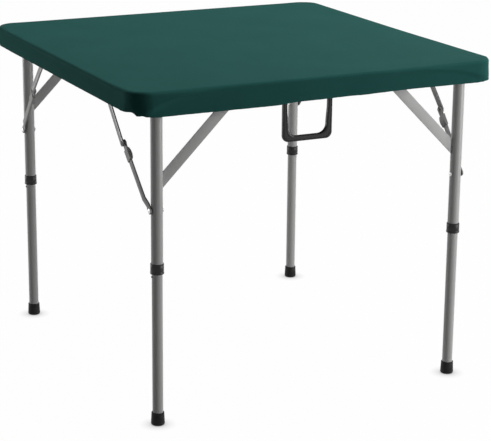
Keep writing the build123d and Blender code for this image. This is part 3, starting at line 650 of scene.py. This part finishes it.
# %% Rounding of the rim at the corners
panel_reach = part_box("front_panel")[1][0]
rim_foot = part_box("front_panel")[0][2]
corner_middle = panel_reach - 46 * MM
corner_lift = 3.5 * MM
corner_draw = 3.0 * MM


def ramp(value, low, high):
    """A smooth step from 0 at low to 1 at high."""
    share = min(max((value - low) / (high - low), 0.0), 1.0)
    return share * share * (3 - 2 * share)


def round_under(place, share):
    """The move up and in that rounds the lower edge at a corner; share grows to 1 at the edge."""
    inward = min(abs(place.x), abs(place.y))
    strength = share * ramp(inward, corner_middle - 12 * MM, corner_middle + 30 * MM)
    if strength == 0:
        return Vector()
    away = Vector((abs(place.x) - corner_middle, abs(place.y) - corner_middle, 0)).normalized()
    return Vector((
        -copysign(away.x, place.x) * corner_draw * strength,
        -copysign(away.y, place.y) * corner_draw * strength,
        corner_lift * strength,
    ))


# %% Where pockets and flutes go
plate_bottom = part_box("front_left_rail")[1][2]
shared_fixings = ("left_rail", "right_rail", "storage_clips", "leg_catches")
lone_fixings = {"front": ("handle_brackets", "fold_tube_clips"), "rear": ("rear_saddles",)}
pad_depth = 4 * MM
pocket_columns, pocket_rows, first_row = 23, 11, 0.75
long_reach, short_reach = 15 * MM, 8 * MM
side_room, end_room = 6 * MM, 3 * MM
panel_wall = 4.5 * MM
flute_count = 18
flute_pitch = 21 * MM
first_flute = 18 * MM
flute_sink = 2.6 * MM
flute_foot = 6 * MM
handle_room = 100 * MM


def pads(half):
    """Boxes (low x, high x, low y, high y) of the separate solids that touch the plate of a half."""
    found = []
    for node in (*[f"{half}_{part}" for part in shared_fixings], *lone_fixings[half]):
        form = bmesh.new()
        form.from_mesh(nodes[node].data)
        bmesh.ops.remove_doubles(form, verts=form.verts, dist=merge_reach)
        left = set(form.verts)
        while left:
            island, reached = [], [left.pop()]
            while reached:
                vert = reached.pop()
                island.append(vert.co)
                near = {edge.other_vert(vert) for edge in vert.link_edges} & left
                left -= near
                reached.extend(near)
            touching = [spot for spot in island if spot.z > plate_bottom - pad_depth]
            if touching:
                across, along = [spot.x for spot in touching], [spot.y for spot in touching]
                found.append((min(across), max(across), min(along), max(along)))
        form.free()
    return found


def stamp_pockets(cutter, half, fy, inside_x, inside_y):
    """Stamp the pockets of a half, turned alternately, clear of its rim and pads; returns how many."""
    boxes = pads(half)
    count = 0
    for column in range(pocket_columns):
        for row in range(pocket_rows):
            x = (column - pocket_columns // 2) * pocket_pitch
            y = fy * (row + first_row) * pocket_pitch
            across = (column + row) % 2
            reach_x, reach_y = (short_reach, long_reach) if across else (long_reach, short_reach)
            in_plate = abs(x) + reach_x <= inside_x - side_room and abs(y) + reach_y <= inside_y - end_room
            on_pad = any(
                low_x - reach_x < x < high_x + reach_x and low_y - reach_y < y < high_y + reach_y
                for low_x, high_x, low_y, high_y in boxes
            )
            if in_plate and not on_pad:
                stamp(cutter, pocket, (x, y, plate_bottom), Matrix.Rotation(pi / 2 * across, 4, "Z"))
                count += 1
    return count


def stamp_flutes(cutter, fy, inside_x, inside_y, foot):
    """Stamp the flutes along the three outer sides of a half."""
    for number in range(-flute_count, flute_count + 1):
        x = number * flute_pitch
        if abs(x) > handle_room:
            stamp(cutter, flute, (x, fy * (inside_y - flute_sink), foot))
    for number in range(flute_count):
        y = fy * (first_flute + number * flute_pitch)
        for fx in (-1, 1):
            stamp(cutter, flute, (fx * (inside_x - flute_sink), y, foot))


# %% Cut them out
def carved(half, cutter):
    """The plain half of the top with the cutter taken away, as a bmesh."""
    tool = new_object("cutter", as_mesh(cutter, "cutter"))
    blank = new_object("plain_half", as_mesh(merged_copy(f"{half}_panel"), "plain_half"))
    cut = blank.modifiers.new("pockets", "BOOLEAN")
    cut.operation = "DIFFERENCE"
    cut.solver = "EXACT"
    cut.object = tool
    form = bmesh.new()
    form.from_mesh(modified_mesh(blank))
    bpy.data.objects.remove(tool)
    bpy.data.objects.remove(blank)
    for face in form.faces:
        face.material_index = 0
    return form


for half, fy in HALVES.items():
    low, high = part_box(f"{half}_panel")
    inside_x = high[0] - panel_wall
    inside_y = max(abs(low[1]), abs(high[1])) - panel_wall
    cutter = bmesh.new()
    count = stamp_pockets(cutter, half, fy, inside_x, inside_y)
    stamp_flutes(cutter, fy, inside_x, inside_y, low[2] + flute_foot)
    form = carved(half, cutter)
    for vert in form.verts:
        if vert.co.z < rim_foot + 1 * MM:
            vert.co += round_under(vert.co, 1)
    body = f"{half}_half"
    top = finished(f"{half}_moulded_top", form, "moulded_top", body, [f"{half}_panel"], smooth=38)
    flat_edges = set()
    for face in top.data.polygons:
        if abs(face.center.z - plate_bottom) < 0.1 * MM and abs(face.normal.z) > 0.999:
            flat_edges.update(face.edge_keys)
    for edge in top.data.edges:
        if edge.key in flat_edges:
            edge.use_edge_sharp = True
    print(half, "pockets", count, "faces", len(top.data.polygons))

# %% [markdown]
# ## Elastic cover
#
# The cover is one stretched cloth, cut square, pulled over the top and gathered
# under the rim by an elastic hem.  A cloth simulation could find its creases, but
# a taut cover on a hard board hardly moves, so it is built from given forms: a grid for
# the flat top, whose rim is slid onto a round-cornered square and then extruded
# row by row down the side and under the rim.  Each vertex also keeps its place in
# the flat cloth, which becomes the UV map that the knit follows.

# %% Cover outline
cover_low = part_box("front_cover")[0]
cover_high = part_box("rear_cover")[1]
cover_reach = cover_high[0]
cover_top = cover_high[2]
cover_bottom = cover_low[2]
corner_round = 48 * MM
edge_round = 7 * MM
cloth_thickness = 1.1 * MM
corner_centre = cover_reach - corner_round
grid_reach = cover_reach - edge_round


def outward(place):
    """Level direction away from the round-cornered square at a place on its rim."""
    reach_x = max(abs(place.x) - corner_centre, 0)
    reach_y = max(abs(place.y) - corner_centre, 0)
    return Vector((copysign(reach_x, place.x), copysign(reach_y, place.y), 0)).normalized()


def on_round_corner(place):
    """Slide a point of the square grid into the square with round corners."""
    radius = grid_reach - corner_centre
    across = (abs(place.x) - corner_centre) / radius
    along = (abs(place.y) - corner_centre) / radius
    if across <= 0 or along <= 0:
        return place.copy()
    return Vector((
        copysign(corner_centre + radius * across * sqrt(1 - along * along / 2), place.x),
        copysign(corner_centre + radius * along * sqrt(1 - across * across / 2), place.y),
        place.z,
    ))


# %% Grow the cover
cloth = bmesh.new()
bmesh.ops.create_grid(cloth, x_segments=160, y_segments=160, size=grid_reach)
flat_place = cloth.verts.layers.float_vector.new("flat_place")
for vert in cloth.verts:
    vert.co = on_round_corner(vert.co)
    vert.co.z = cover_top
    vert[flat_place] = vert.co.copy()

edge_rows, skirt_rows, hem_rows, tuck_rows = 6, 11, 4, 3
row_ease = 1.35
hem_round = 2.2 * MM
tuck_pitch, tuck_rise = 2.2 * MM, 0.15 * MM
skirt_top = cover_top - edge_round
skirt_foot = cover_bottom + hem_round
cover_rows = []
for step in range(1, edge_rows + 1):
    turn = step / edge_rows * pi / 2
    cover_rows.append((edge_round * sin(turn), cover_top - edge_round * (1 - cos(turn))))
for step in range(1, skirt_rows + 1):
    share = (step / skirt_rows) ** row_ease
    cover_rows.append((edge_round, skirt_top + (skirt_foot - skirt_top) * share))
for step in range(1, hem_rows + 1):
    turn = step / hem_rows * pi / 2
    cover_rows.append((edge_round - hem_round * (1 - cos(turn)), skirt_foot - hem_round * sin(turn)))
for step in range(1, tuck_rows + 1):
    cover_rows.append((edge_round - hem_round - step * tuck_pitch, cover_bottom + tuck_rise * step))

rim = [edge for edge in cloth.edges if edge.is_boundary]
last_out, last_height, run = 0.0, cover_top, 0.0
for out, height in cover_rows:
    run += hypot(out - last_out, height - last_height)
    rim, rim_verts = grow_rim(cloth, rim)
    for vert in rim_verts:
        away = outward(vert.co)
        start = Vector((vert.co.x, vert.co.y, 0)) - away * last_out
        vert.co = start + away * out + Vector((0, 0, height))
        vert[flat_place] = start + away * run
    last_out, last_height = out, height

# %% [markdown]
# Now the signs that it is cloth.  The elastic gathers the hem, most of all round
# the corners.  On the handle side the hem was not pulled home and hangs lower at
# one end, but it is caught up over the handle, so that the handle can swing out
# under it.  Towards each corner of that side the cloth spans from the top to the
# hem like a tent, and an arched crease parts it from the slack middle.  The left
# side has a sharper top edge with a shallow groove under it.  Everything moves the
# cloth outwards, up or down past the rim, so that it never cuts into the board.


# %% Creases and gathers
handle_arm_x = 54.5 * MM
droop_depth, pinch_depth = 7.0 * MM, 5.0 * MM
tent_reach, edge_lift = 5.0 * MM, 2.4 * MM
gather_rate, ripple_rate, lean_rate, pucker_rate, drag_rate = 95, 34, 5, 150, 30
crease_pitch, crease_height = 21 * MM, 0.55 * MM
sharp_power, lip_mm, wall_mm = 5, 3.0, 1.4
arch_start, arch_run, arch_low = 0.18, 0.24, 0.2
# where a form starts and is full, in metres or, for the pinch, in radians
droop_grows, droop_fades, droop_side = (-0.434, -0.400), (-0.10, 0.24), (0.395, 0.425)
tent_grows, tent_fades, tent_side = (0.20, 0.32), (0.385, 0.43), (0.41, 0.432)
pinch_grows, pinch_fades = (-2.52, -2.41), (-2.36, -2.10)
lift_along, lift_across = (0.20, 0.43), (-0.05, 0.42)
sharp_side, sharp_fades = (0.420, 0.430), (0.30, 0.39)
crease_grows, crease_fades, crease_along = (0.36, 0.40), (0.425, 0.434), (0.02, 0.30)


def hem_droop(place, drop):
    """How far the hem hangs down on the handle side."""
    along = ramp(place.x, *droop_grows) * (1 - ramp(place.x, *droop_fades))
    beside_handle = ramp(abs(place.x) - handle_arm_x, 9 * MM, 60 * MM)
    hang = droop_depth * along * (0.55 + 0.45 * beside_handle)
    return hang * ramp(-place.y, *droop_side) * ramp(drop, 0.3, 1.0)


def corner_tent(place, drop):
    """How far the taut cloth near the two handle-side corners stands out."""
    past_start = min(max((abs(place.x) - arch_start) / arch_run, 0), 1)
    arch = arch_low + (1 - arch_low) * past_start ** 4
    grow = ramp(abs(place.x), *tent_grows) * (1 - 0.75 * ramp(abs(place.x), *tent_fades))
    slope = min(drop / arch, 1) * (1 - ramp(drop, arch, arch + 0.13))
    return tent_reach * slope * grow * ramp(-place.y, *tent_side)


def corner_pinch(place, drop):
    """How far a pinch of gathered hem hangs down beside the left handle-side corner."""
    turn = atan2(place.y + corner_centre, place.x + corner_centre)
    beside = ramp(turn, *pinch_grows) * (1 - ramp(turn, *pinch_fades))
    if place.x > -corner_centre or place.y > -corner_centre:
        return 0.0
    return pinch_depth * beside * ramp(drop, 0.72, 1.0)


def edge_rise(place):
    """How far the cloth lifts off the board towards the right handle-side corner."""
    return edge_lift * ramp(place.x, *lift_along) * ramp(-place.y, *lift_across)


def sharp_edge(place, drop):
    """Moves out and up that make the top edge of the left side sharper, with a groove under it."""
    along = ramp(-place.x, *sharp_side) * (1 - ramp(abs(place.y), *sharp_fades))
    level = max(1 - drop * (cover_top - cover_bottom) / edge_round, 0)
    side = sqrt(1 - level * level)
    rounding = (level ** sharp_power + side ** sharp_power) ** (-1 / sharp_power)
    swell = edge_round * (rounding - 1) if drop > 0.001 else 0.0
    lip = lip_mm * ramp(drop, 0.0, 0.01) * (1 - ramp(drop, 0.155, 0.225))
    lower_wall = wall_mm * ramp(drop, 0.27, 0.6)
    return along * (swell * side + (lip + lower_wall) * MM), along * swell * level


def waver(x, y, z=0.0):
    """Smooth noise between -1 and 1 at a place."""
    return noise.noise(Vector((x, y, z)))


moves = []
for vert in cloth.verts:
    place = vert.co
    x, y, z = place
    away = outward(place) if max(abs(x), abs(y)) > corner_centre else Vector()
    near_corner = ramp(min(abs(x), abs(y)), corner_centre - 50 * MM, corner_centre + 25 * MM)
    drop = (cover_top - z) / (cover_top - cover_bottom)
    gather = waver(x * gather_rate, y * gather_rate, z * 14)
    ripple = waver(x * ripple_rate + 7, y * ripple_rate, z * 9)
    lean = waver(x * lean_rate, y * lean_rate + 3)
    pucker = waver(x * pucker_rate + 3, y * pucker_rate, 1)
    slack = 0.2 if x < 0 < y else 1.0
    out, rise = sharp_edge(place, drop)
    # outwards in millimetres: gathers, ripples and tents, all below the top edge
    if drop > 0.02:
        out += ramp(drop, 0.25, 1.0) * near_corner * slack * (0.9 + 1.5 * gather) * MM
        out += ramp(drop, 0.35, 1.0) * (0.35 + 0.55 * ripple + 0.45 * lean) * MM
        out += ramp(drop, 0.7, 1.0) * max(gather, 0) * 0.7 * MM
        out += corner_tent(place, drop)
    # up and down: the droop, the pinch and the puckered hem, then the drags and creases of the top
    rise -= hem_droop(place, drop) + corner_pinch(place, drop)
    rise += edge_rise(place) * (1 - ramp(drop, 0.3, 0.9))
    rise -= ramp(drop, 0.8, 1.0) * near_corner * (0.5 + 1.6 * abs(pucker)) * MM
    if drop < 0.2:
        drag = waver((x - y) * drag_rate * copysign(1, x * y), 5)
        rise += near_corner * (1 - ramp(drop, 0.05, 0.2)) * (0.35 + 0.5 * drag) * MM
        side = ramp(-y, *crease_grows) * (1 - ramp(-y, *crease_fades)) * ramp(x, *crease_along)
        crease = max(sin((y + 0.02 * lean) * 2 * pi / crease_pitch + 3 * lean), 0) ** 2
        rise += side * crease * crease_height
        rise += 0.12 * MM * (1 + waver(x * 9, y * 9, 4))
    # under the rim the cloth only sags, and at the corners it follows the rounded rim
    under = ramp(drop, 0.985, 1.0)
    sag = under * (0.5 + 0.9 * gather) * 0.5 * MM
    tuck = 0.3 if y < 0 < x else 1.0
    move = round_under(place, tuck * ramp(drop, 0.68, 1.0))
    move += away * max(out, 0) * (1 - under)
    move.z += rise - max(sag, 0)
    moves.append((vert, move))
for vert, move in moves:
    vert.co += move

# %% Flat map and thickness
uv = cloth.loops.layers.uv.new("flat_cloth")
for face in cloth.faces:
    for loop in face.loops:
        loop[uv].uv = loop.vert[flat_place].xy
bmesh.ops.recalc_face_normals(cloth, faces=cloth.faces)
if sum(face.normal.z for face in cloth.faces) < 0:
    bmesh.ops.reverse_faces(cloth, faces=cloth.faces)
cover = new_object("elastic_cover", as_mesh(cloth, "elastic_cover"))
cover.data.materials.append(green_cloth)
thick = cover.modifiers.new("thickness", "SOLIDIFY")
thick.thickness = cloth_thickness
thick.offset = -1.0
thick.use_rim = True
thick_mesh = modified_mesh(cover)
cover.modifiers.clear()
cover.data = thick_mesh
thick_mesh.shade_smooth()
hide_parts("front_cover", "rear_cover")
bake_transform(cover)
print("cover faces", len(thick_mesh.polygons))

# %% [markdown]
# ## Soft edges for pressed and moulded parts
#
# Straps, links, brackets, clips and caps already have their right form, but a
# real edge is never razor sharp.  Their plain solids are copied, cleaned and
# bevelled by a fraction of a millimetre, which is what catches the light.

# %% Pressed steel and small mouldings
half_parts = (
    ("rail_caps", "black_plastic", 0.8, 3),
    ("hinge_leaves", "yellow_zinc", 0.4, 2),
    ("storage_clips", "black_plastic", 0.5, 2),
    ("leg_catches", "black_plastic", 0.5, 2),
)
for half in HALVES:
    for part, slot, width, segments in half_parts:
        softened(f"{half}_{part}", f"{half}_{part}_soft", slot, f"{half}_half", width, segments)
    for side in SIDES:
        leg = f"{half}_{side}"
        leg_parts = (
            ("strap", "flat_strap", f"{half}_legs", 0.7, 3, lit_strap_steel),
            ("leg_link", "lower_brace", f"{leg}_lower_link", 0.5, 2, shaded_brace_steel),
            ("rail_link", "upper_brace", f"{leg}_upper_link", 0.5, 2, shaded_brace_steel),
        )
        for part, name, body, width, segments, finish in leg_parts:
            softened(f"{leg}_{part}", f"{leg}_{name}", "grey_steel", body, width, segments, finish)
lone_parts = (
    ("fold_tube_clips", "front_half"), ("handle_brackets", "front_half"), ("rear_saddles", "rear_half"),
)
for part, body in lone_parts:
    softened(part, f"{part}_soft", "black_plastic", body, 0.5)
print("softened parts done")

# %% [markdown]
# ## Collars and feet
#
# Both are round mouldings, so each is turned from a profile with Spin.  The
# collar has a thin lip at the top, a shallow waist and a rolled foot.  The rubber
# foot flares towards the floor and has two moulded rings and a hollow sole.

# %% Turn the collars and the feet
def collar_outline(tall):
    """Radius and height of each point of a collar, in millimetres."""
    bore, inner = 11.75, 12.78
    return (
        (bore, 0.4), (bore + 0.6, 0), (13.6, 0), (14.6, 0.5), (15.0, 1.5), (15.0, 3.4), (14.75, 4.2),
        (14.2, 4.7), (14.2, 5.3), (14.5, 5.9), (14.45, tall * 0.55), (14.5, tall - 4.2),
        (14.15, tall - 3.7), (14.15, tall - 3.1), (14.5, tall - 2.6), (14.4, tall - 0.9),
        (13.9, tall - 0.2), (13.3, tall), (inner, tall - 0.2), (inner, 3), (bore, 3), (bore, 0.4),
    )


def foot_outline(tall):
    """Radius and height of each point of a foot, in millimetres."""
    return (
        (0, 0.8), (6, 0.8), (6.8, 0), (10.6, 0), (12.6, 0.5), (14.1, 1.6), (14.9, 3.4), (15.0, 5.0),
        (14.9, 6.6), (14.5, 7.2), (14.5, 7.9), (14.75, 8.5), (14.35, 17), (14.05, tall - 5.4),
        (13.6, tall - 4.9), (13.6, tall - 4.2), (14.0, tall - 3.6), (13.85, tall - 0.9),
        (13.2, tall - 0.1), (12.4, tall), (11.68, tall - 0.5), (11.68, 5), (0, 5),
    )


round_parts = (
    ("collar", "joint_collar", collar_outline, "black_plastic", "{half}_legs"),
    ("foot", "rubber_foot", foot_outline, "black_rubber", "{half}_{side}_extension_leg"),
)
for part, name, outline, slot, body in round_parts:
    for half in HALVES:
        for side in SIDES:
            node = f"{half}_{side}_{part}"
            low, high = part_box(node)
            centre = middle(node)
            form = bmesh.new()
            shape = turned(outline((high[2] - low[2]) / MM), 48)
            stamp(form, shape, (centre.x, centre.y, low[2]))
            rides_on = body.format(half=half, side=side)
            finished(f"{half}_{side}_{name}", form, slot, rides_on, [node], smooth=50)
print("collars and feet done")

# %% [markdown]
# ## Rivets and screws
#
# Rivet heads are low domes and are turned like the feet.  A screw head starts
# from a disc whose middle is inset; the inner ring is pushed into the outline of
# a cross and extruded down, which gives a real driver recess in a few faces.


# %% One rivet head and one screw head
def rivet_head(radius, height):
    """A domed head that stands on z = 0; sizes in millimetres."""
    dome_steps, straight = 5, 0.18
    profile = [(0, -0.3), (radius, -0.3), (radius, height * straight)]
    for step in range(1, dome_steps):
        turn = step / dome_steps * pi / 2
        profile.append((radius * cos(turn), height * (straight + (1 - straight) * sin(turn))))
    return turned([*profile, (0, height)], 20)


def screw_head(radius, height):
    """A pan head with a cross recess that stands on z = 0; sizes in metres."""
    flat_share, inset_share = 0.74, 0.12
    arm_reach, arm_half, recess_share, recess_taper = 0.52, 0.15, 0.65, 0.7
    form = bmesh.new()
    bmesh.ops.create_circle(form, cap_ends=True, segments=24, radius=radius * flat_share)
    face = form.faces[:][0]
    bmesh.ops.translate(form, vec=(0, 0, height), verts=form.verts)
    rim = list(face.edges)
    for share, level in ((0.90, 0.93), (0.98, 0.70), (1.0, 0.35), (1.0, -0.1)):
        rim, rim_verts = grow_rim(form, rim)
        for vert in rim_verts:
            flat = Vector((vert.co.x, vert.co.y, 0)).normalized() * radius * share
            vert.co = (flat.x, flat.y, height * level)
    bmesh.ops.contextual_create(form, geom=rim)
    bmesh.ops.inset_region(form, faces=[face], thickness=radius * inset_share)
    for vert in face.verts:
        turn = abs((atan2(vert.co.y, vert.co.x) + pi / 4) % (pi / 2) - pi / 4)
        long_side = radius * arm_reach / cos(turn)
        short_side = radius * arm_half / max(sin(turn), 0.01)
        flat = Vector((vert.co.x, vert.co.y, 0)).normalized() * min(long_side, short_side)
        vert.co.x, vert.co.y = flat.x, flat.y
    sunk = list(push_face(form, face, keep=False).verts)
    bmesh.ops.translate(form, vec=(0, 0, -height * recess_share), verts=sunk)
    bmesh.ops.scale(form, vec=(recess_taper, recess_taper, 1), verts=sunk)
    bmesh.ops.recalc_face_normals(form, faces=form.faces)
    return as_mesh(form, "screw_head")


large_height = 2.4
small_rivet = rivet_head(4.5, 1.8)
large_rivet = rivet_head(5.5, large_height)
pan_screw = screw_head(4.5 * MM, 2.2 * MM)
facing_x = {1: Matrix.Rotation(pi / 2, 4, "Y"), -1: Matrix.Rotation(-pi / 2, 4, "Y")}
facing_down = Matrix.Rotation(pi, 4, "X")

# %% Place them
joints = {joint["name"]: joint for joint in frame["record"]["behaviour"]["joints"]}
brace_pivot = Vector([abs(value) for value in joints["front_right_rail_link_turn"]["pos_m"]])
link_half = 1.55 * MM
leaf_thickness = 2.5 * MM
leg_radius = 12.7 * MM
spacer_radius, leg_shank, hinge_shank = 5.5, 3, 3.5
rail_screws_y = (66.0 * MM, 216.25 * MM, 366.5 * MM)
leaf_rivets_y = (22.5 * MM, 44.5 * MM)


def riveted(form, outer, inner, y, z, radius):
    """Stamp a rivet along X: a head at each end and the shank between them."""
    fx = 1 if outer > inner else -1
    stamp(form, large_rivet, (outer, y, z), facing_x[fx])
    stamp(form, large_rivet, (inner, y, z), facing_x[-fx])
    stamp(form, pin(radius, abs(outer - inner) / MM), (inner, y, z), facing_x[fx])


for half, fy in HALVES.items():
    rail_inner, _, rail_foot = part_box(f"{half}_right_rail")[0]
    rail_middle = middle(f"{half}_right_rail")
    leaf_face = rail_inner - leaf_thickness
    link_face = brace_pivot.x - link_half
    spacer = pin(spacer_radius, (rail_inner - brace_pivot.x - link_half) / MM, chamfer=0.2)
    form = bmesh.new()
    for fx in (-1, 1):
        for y in rail_screws_y:
            stamp(form, pan_screw, (fx * rail_middle.x, fy * y, rail_foot), facing_down)
        for y in leaf_rivets_y:
            stamp(form, small_rivet, (fx * leaf_face, fy * y, rail_middle.z), facing_x[-fx])
        for mesh, x in ((large_rivet, link_face), (spacer, rail_inner)):
            stamp(form, mesh, (fx * x, fy * brace_pivot.y, brace_pivot.z), facing_x[-fx])
    finished(f"{half}_screws_and_rivets", form, "bright_steel", f"{half}_half", [f"{half}_fasteners"])
    form = bmesh.new()
    pins_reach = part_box(f"{half}_leg_pins")[1][0] - large_height * MM
    pin_z = middle(f"{half}_leg_pins").z
    for side, fx in SIDES.items():
        leg = middle(f"{half}_{side}_leg")
        riveted(form, fx * pins_reach, leg.x - fx * leg_radius, leg.y, pin_z, leg_shank)
    finished(f"{half}_leg_rivets", form, "bright_steel", f"{half}_legs", [f"{half}_leg_pins"])

leaf_stack = 5.25 * MM
pin_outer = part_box("hinge_pins")[1][0] - large_height * MM
form = bmesh.new()
for fx in (-1, 1):
    riveted(form, fx * pin_outer, fx * (pin_outer - leaf_stack), 0, middle("hinge_pins").z, hinge_shank)
finished("hinge_rivets", form, "bright_steel", "front_half", ["hinge_pins"])
print("rivets and screws done")

# %% [markdown]
# ## Carry handle
#
# The handle is a moulded U with thick, webbed lower corners: its outer corners
# are tight and its inner ones wide, so a plain swept tube would be wrong.  Two
# matching lines, one outside and one inside, give a station for each step, and a
# section with a shallow channel in its front and back is extruded from station to
# station.

# %% Stations of the U
handle_low, handle_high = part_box("handle")
handle_y = (handle_low[1] + handle_high[1]) / 2
half_depth = (handle_high[1] - handle_low[1]) / 2
pivot_z = handle_high[2] - half_depth
bottom_z = handle_low[2]
outer_x = 59.5 * MM
arm_top, arm_foot, grip = 10 * MM, 13 * MM, 12.5 * MM
outer_round, inner_round = 14 * MM, 20 * MM
inner_foot = bottom_z + grip + inner_round
outer_foot = bottom_z + outer_round
end_steps, arm_steps, corner_steps = 6, 14, 10


def at(x, z):
    """A place in the plane of the handle."""
    return Vector((x, 0, z))


stations = []
for step in range(end_steps):
    turn = (1 - step / end_steps) * pi / 2
    level = pivot_z + half_depth * sin(turn)
    stations.append((at(-outer_x, level), at(-outer_x + arm_top, level), max(cos(turn), 0.12)))
for step in range(arm_steps + 1):
    share = step / arm_steps
    arm = arm_top + (arm_foot - arm_top) * ramp(share, 0.45, 1.0)
    outer = at(-outer_x, pivot_z + (outer_foot + 6 * MM - pivot_z) * share)
    inner = at(-outer_x + arm, pivot_z + (inner_foot - pivot_z) * share)
    stations.append((outer, inner, 1.0))
for step in range(corner_steps + 1):
    turn = pi + step / corner_steps * pi / 2
    outer = at(-outer_x + outer_round * (1 + cos(turn)), outer_foot + outer_round * sin(turn))
    inner = at(-outer_x + arm_foot + inner_round * (1 + cos(turn)), inner_foot + inner_round * sin(turn))
    stations.append((outer, inner, 1.0))
for x in (-outer_x / 4, 0):
    stations.append((at(x, bottom_z), at(x, bottom_z + grip), 1.0))
stations += [
    (at(-outer.x, outer.z), at(-inner.x, inner.z), depth) for outer, inner, depth in reversed(stations[:-1])
]
print("handle stations", len(stations))

# %% Section and sweep
quarter = [(1.0, 0.45), (0.94, 0.72), (0.78, 0.91), (0.60, 1.0), (0.44, 1.0), (0.38, 0.84)]
handle_section = (
    [(-1.0, 0.0)] + [(-x, y) for x, y in quarter] + quarter[::-1]
    + [(1.0, 0.0)] + [(x, -y) for x, y in quarter] + [(-x, -y) for x, y in quarter[::-1]]
)


def section_place(station, point):
    """Where a point of the section lies at a station."""
    outer, inner, depth = station
    centre = (outer + inner) / 2
    across = (inner - outer) / 2
    return centre + across * point[0] + Vector((0, handle_y + half_depth * point[1] * depth, 0))


form = bmesh.new()
ring = [form.verts.new(section_place(stations[0], point)) for point in handle_section]
face = form.faces.new(ring)
for number, station in enumerate(stations[1:]):
    face = push_face(form, face, keep=number == 0)
    for vert, point in zip(face.verts, handle_section):
        vert.co = section_place(station, point)
axle_length = 18 * MM
axle = pin(4, axle_length / MM, chamfer=0.4, steps=24)
for fx in (-1, 1):
    axle_start = fx * (outer_x - 5 * MM) - axle_length / 2
    stamp(form, axle, (axle_start, handle_y, pivot_z), facing_x[1])
finished("carry_handle", form, "black_plastic", "carry_handle", ["handle"], smooth=40)
print("handle done")

# %% [markdown]
# ## Weld beads
#
# The straps and the legs are welded to the tubes.  A bead is a row of small
# overlapping drops.  One drop is an icosphere with few faces, because it is
# repeated several hundred times, and it is stamped along each seam.

# %% Weld seams
drop_form = bmesh.new()
bmesh.ops.create_icosphere(drop_form, subdivisions=1, radius=1.5 * MM)
drop = as_mesh(drop_form, "weld_drop")
tube_radius = 11 * MM
saddle_drops, strap_drops, tube_drops = 30, 16, 15
drop_pitch = 2.0 * MM


def weld(form, spot, size, spread):
    """Stamp a drop of weld whose size varies from spot to spot."""
    stamp(form, drop, spot, Matrix.Scale(size + spread * noise.noise(spot * 900), 4))


def weld_pair(form, start, step, count, away):
    """Stamp two straight seams, one on each side of a strap."""
    for side_y in (-away, away):
        for number in range(count):
            weld(form, start + step * number + Vector((0, side_y, 0)), 0.9, 0.2)


for half in HALVES:
    form = bmesh.new()
    tube = middle(f"{half}_cross_tube")
    for side, fx in SIDES.items():
        leg = middle(f"{half}_{side}_leg")
        strap_low, strap_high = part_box(f"{half}_{side}_strap")
        # the saddle seam where the leg meets the cross tube
        for number in range(saddle_drops):
            turn = 2 * pi * number / saddle_drops
            level = leg_radius * sin(turn)
            fall = sqrt(max((tube_radius + 0.3 * MM) ** 2 - min(abs(level), tube_radius) ** 2, 0))
            weld(form, Vector((leg.x + leg_radius * cos(turn), leg.y + level, tube.z - fall)), 1, 0.18)
        # the seams of the strap along the leg, front and back
        start = Vector((leg.x - fx * (leg_radius - 0.4 * MM), leg.y, strap_low[2] + 1.5 * MM))
        weld_pair(form, start, Vector((0, 0, drop_pitch)), strap_drops, 1.7 * MM)
        # the seams of the strap under the cross tube
        strap_end = strap_low[0] if fx > 0 else strap_high[0]
        start = Vector((strap_end + fx * drop_pitch, leg.y, tube.z - tube_radius + 0.1 * MM))
        weld_pair(form, start, Vector((fx * drop_pitch, 0, 0)), tube_drops, 1.8 * MM)
    finished(f"{half}_weld_beads", form, "grey_steel", f"{half}_legs", smooth=60, merge=1e-8)
print("welds done")

# %% [markdown]
# ## Last update
#
# The view layer is updated once more at the end.

# %% Update the scene
bpy.context.view_layer.update()
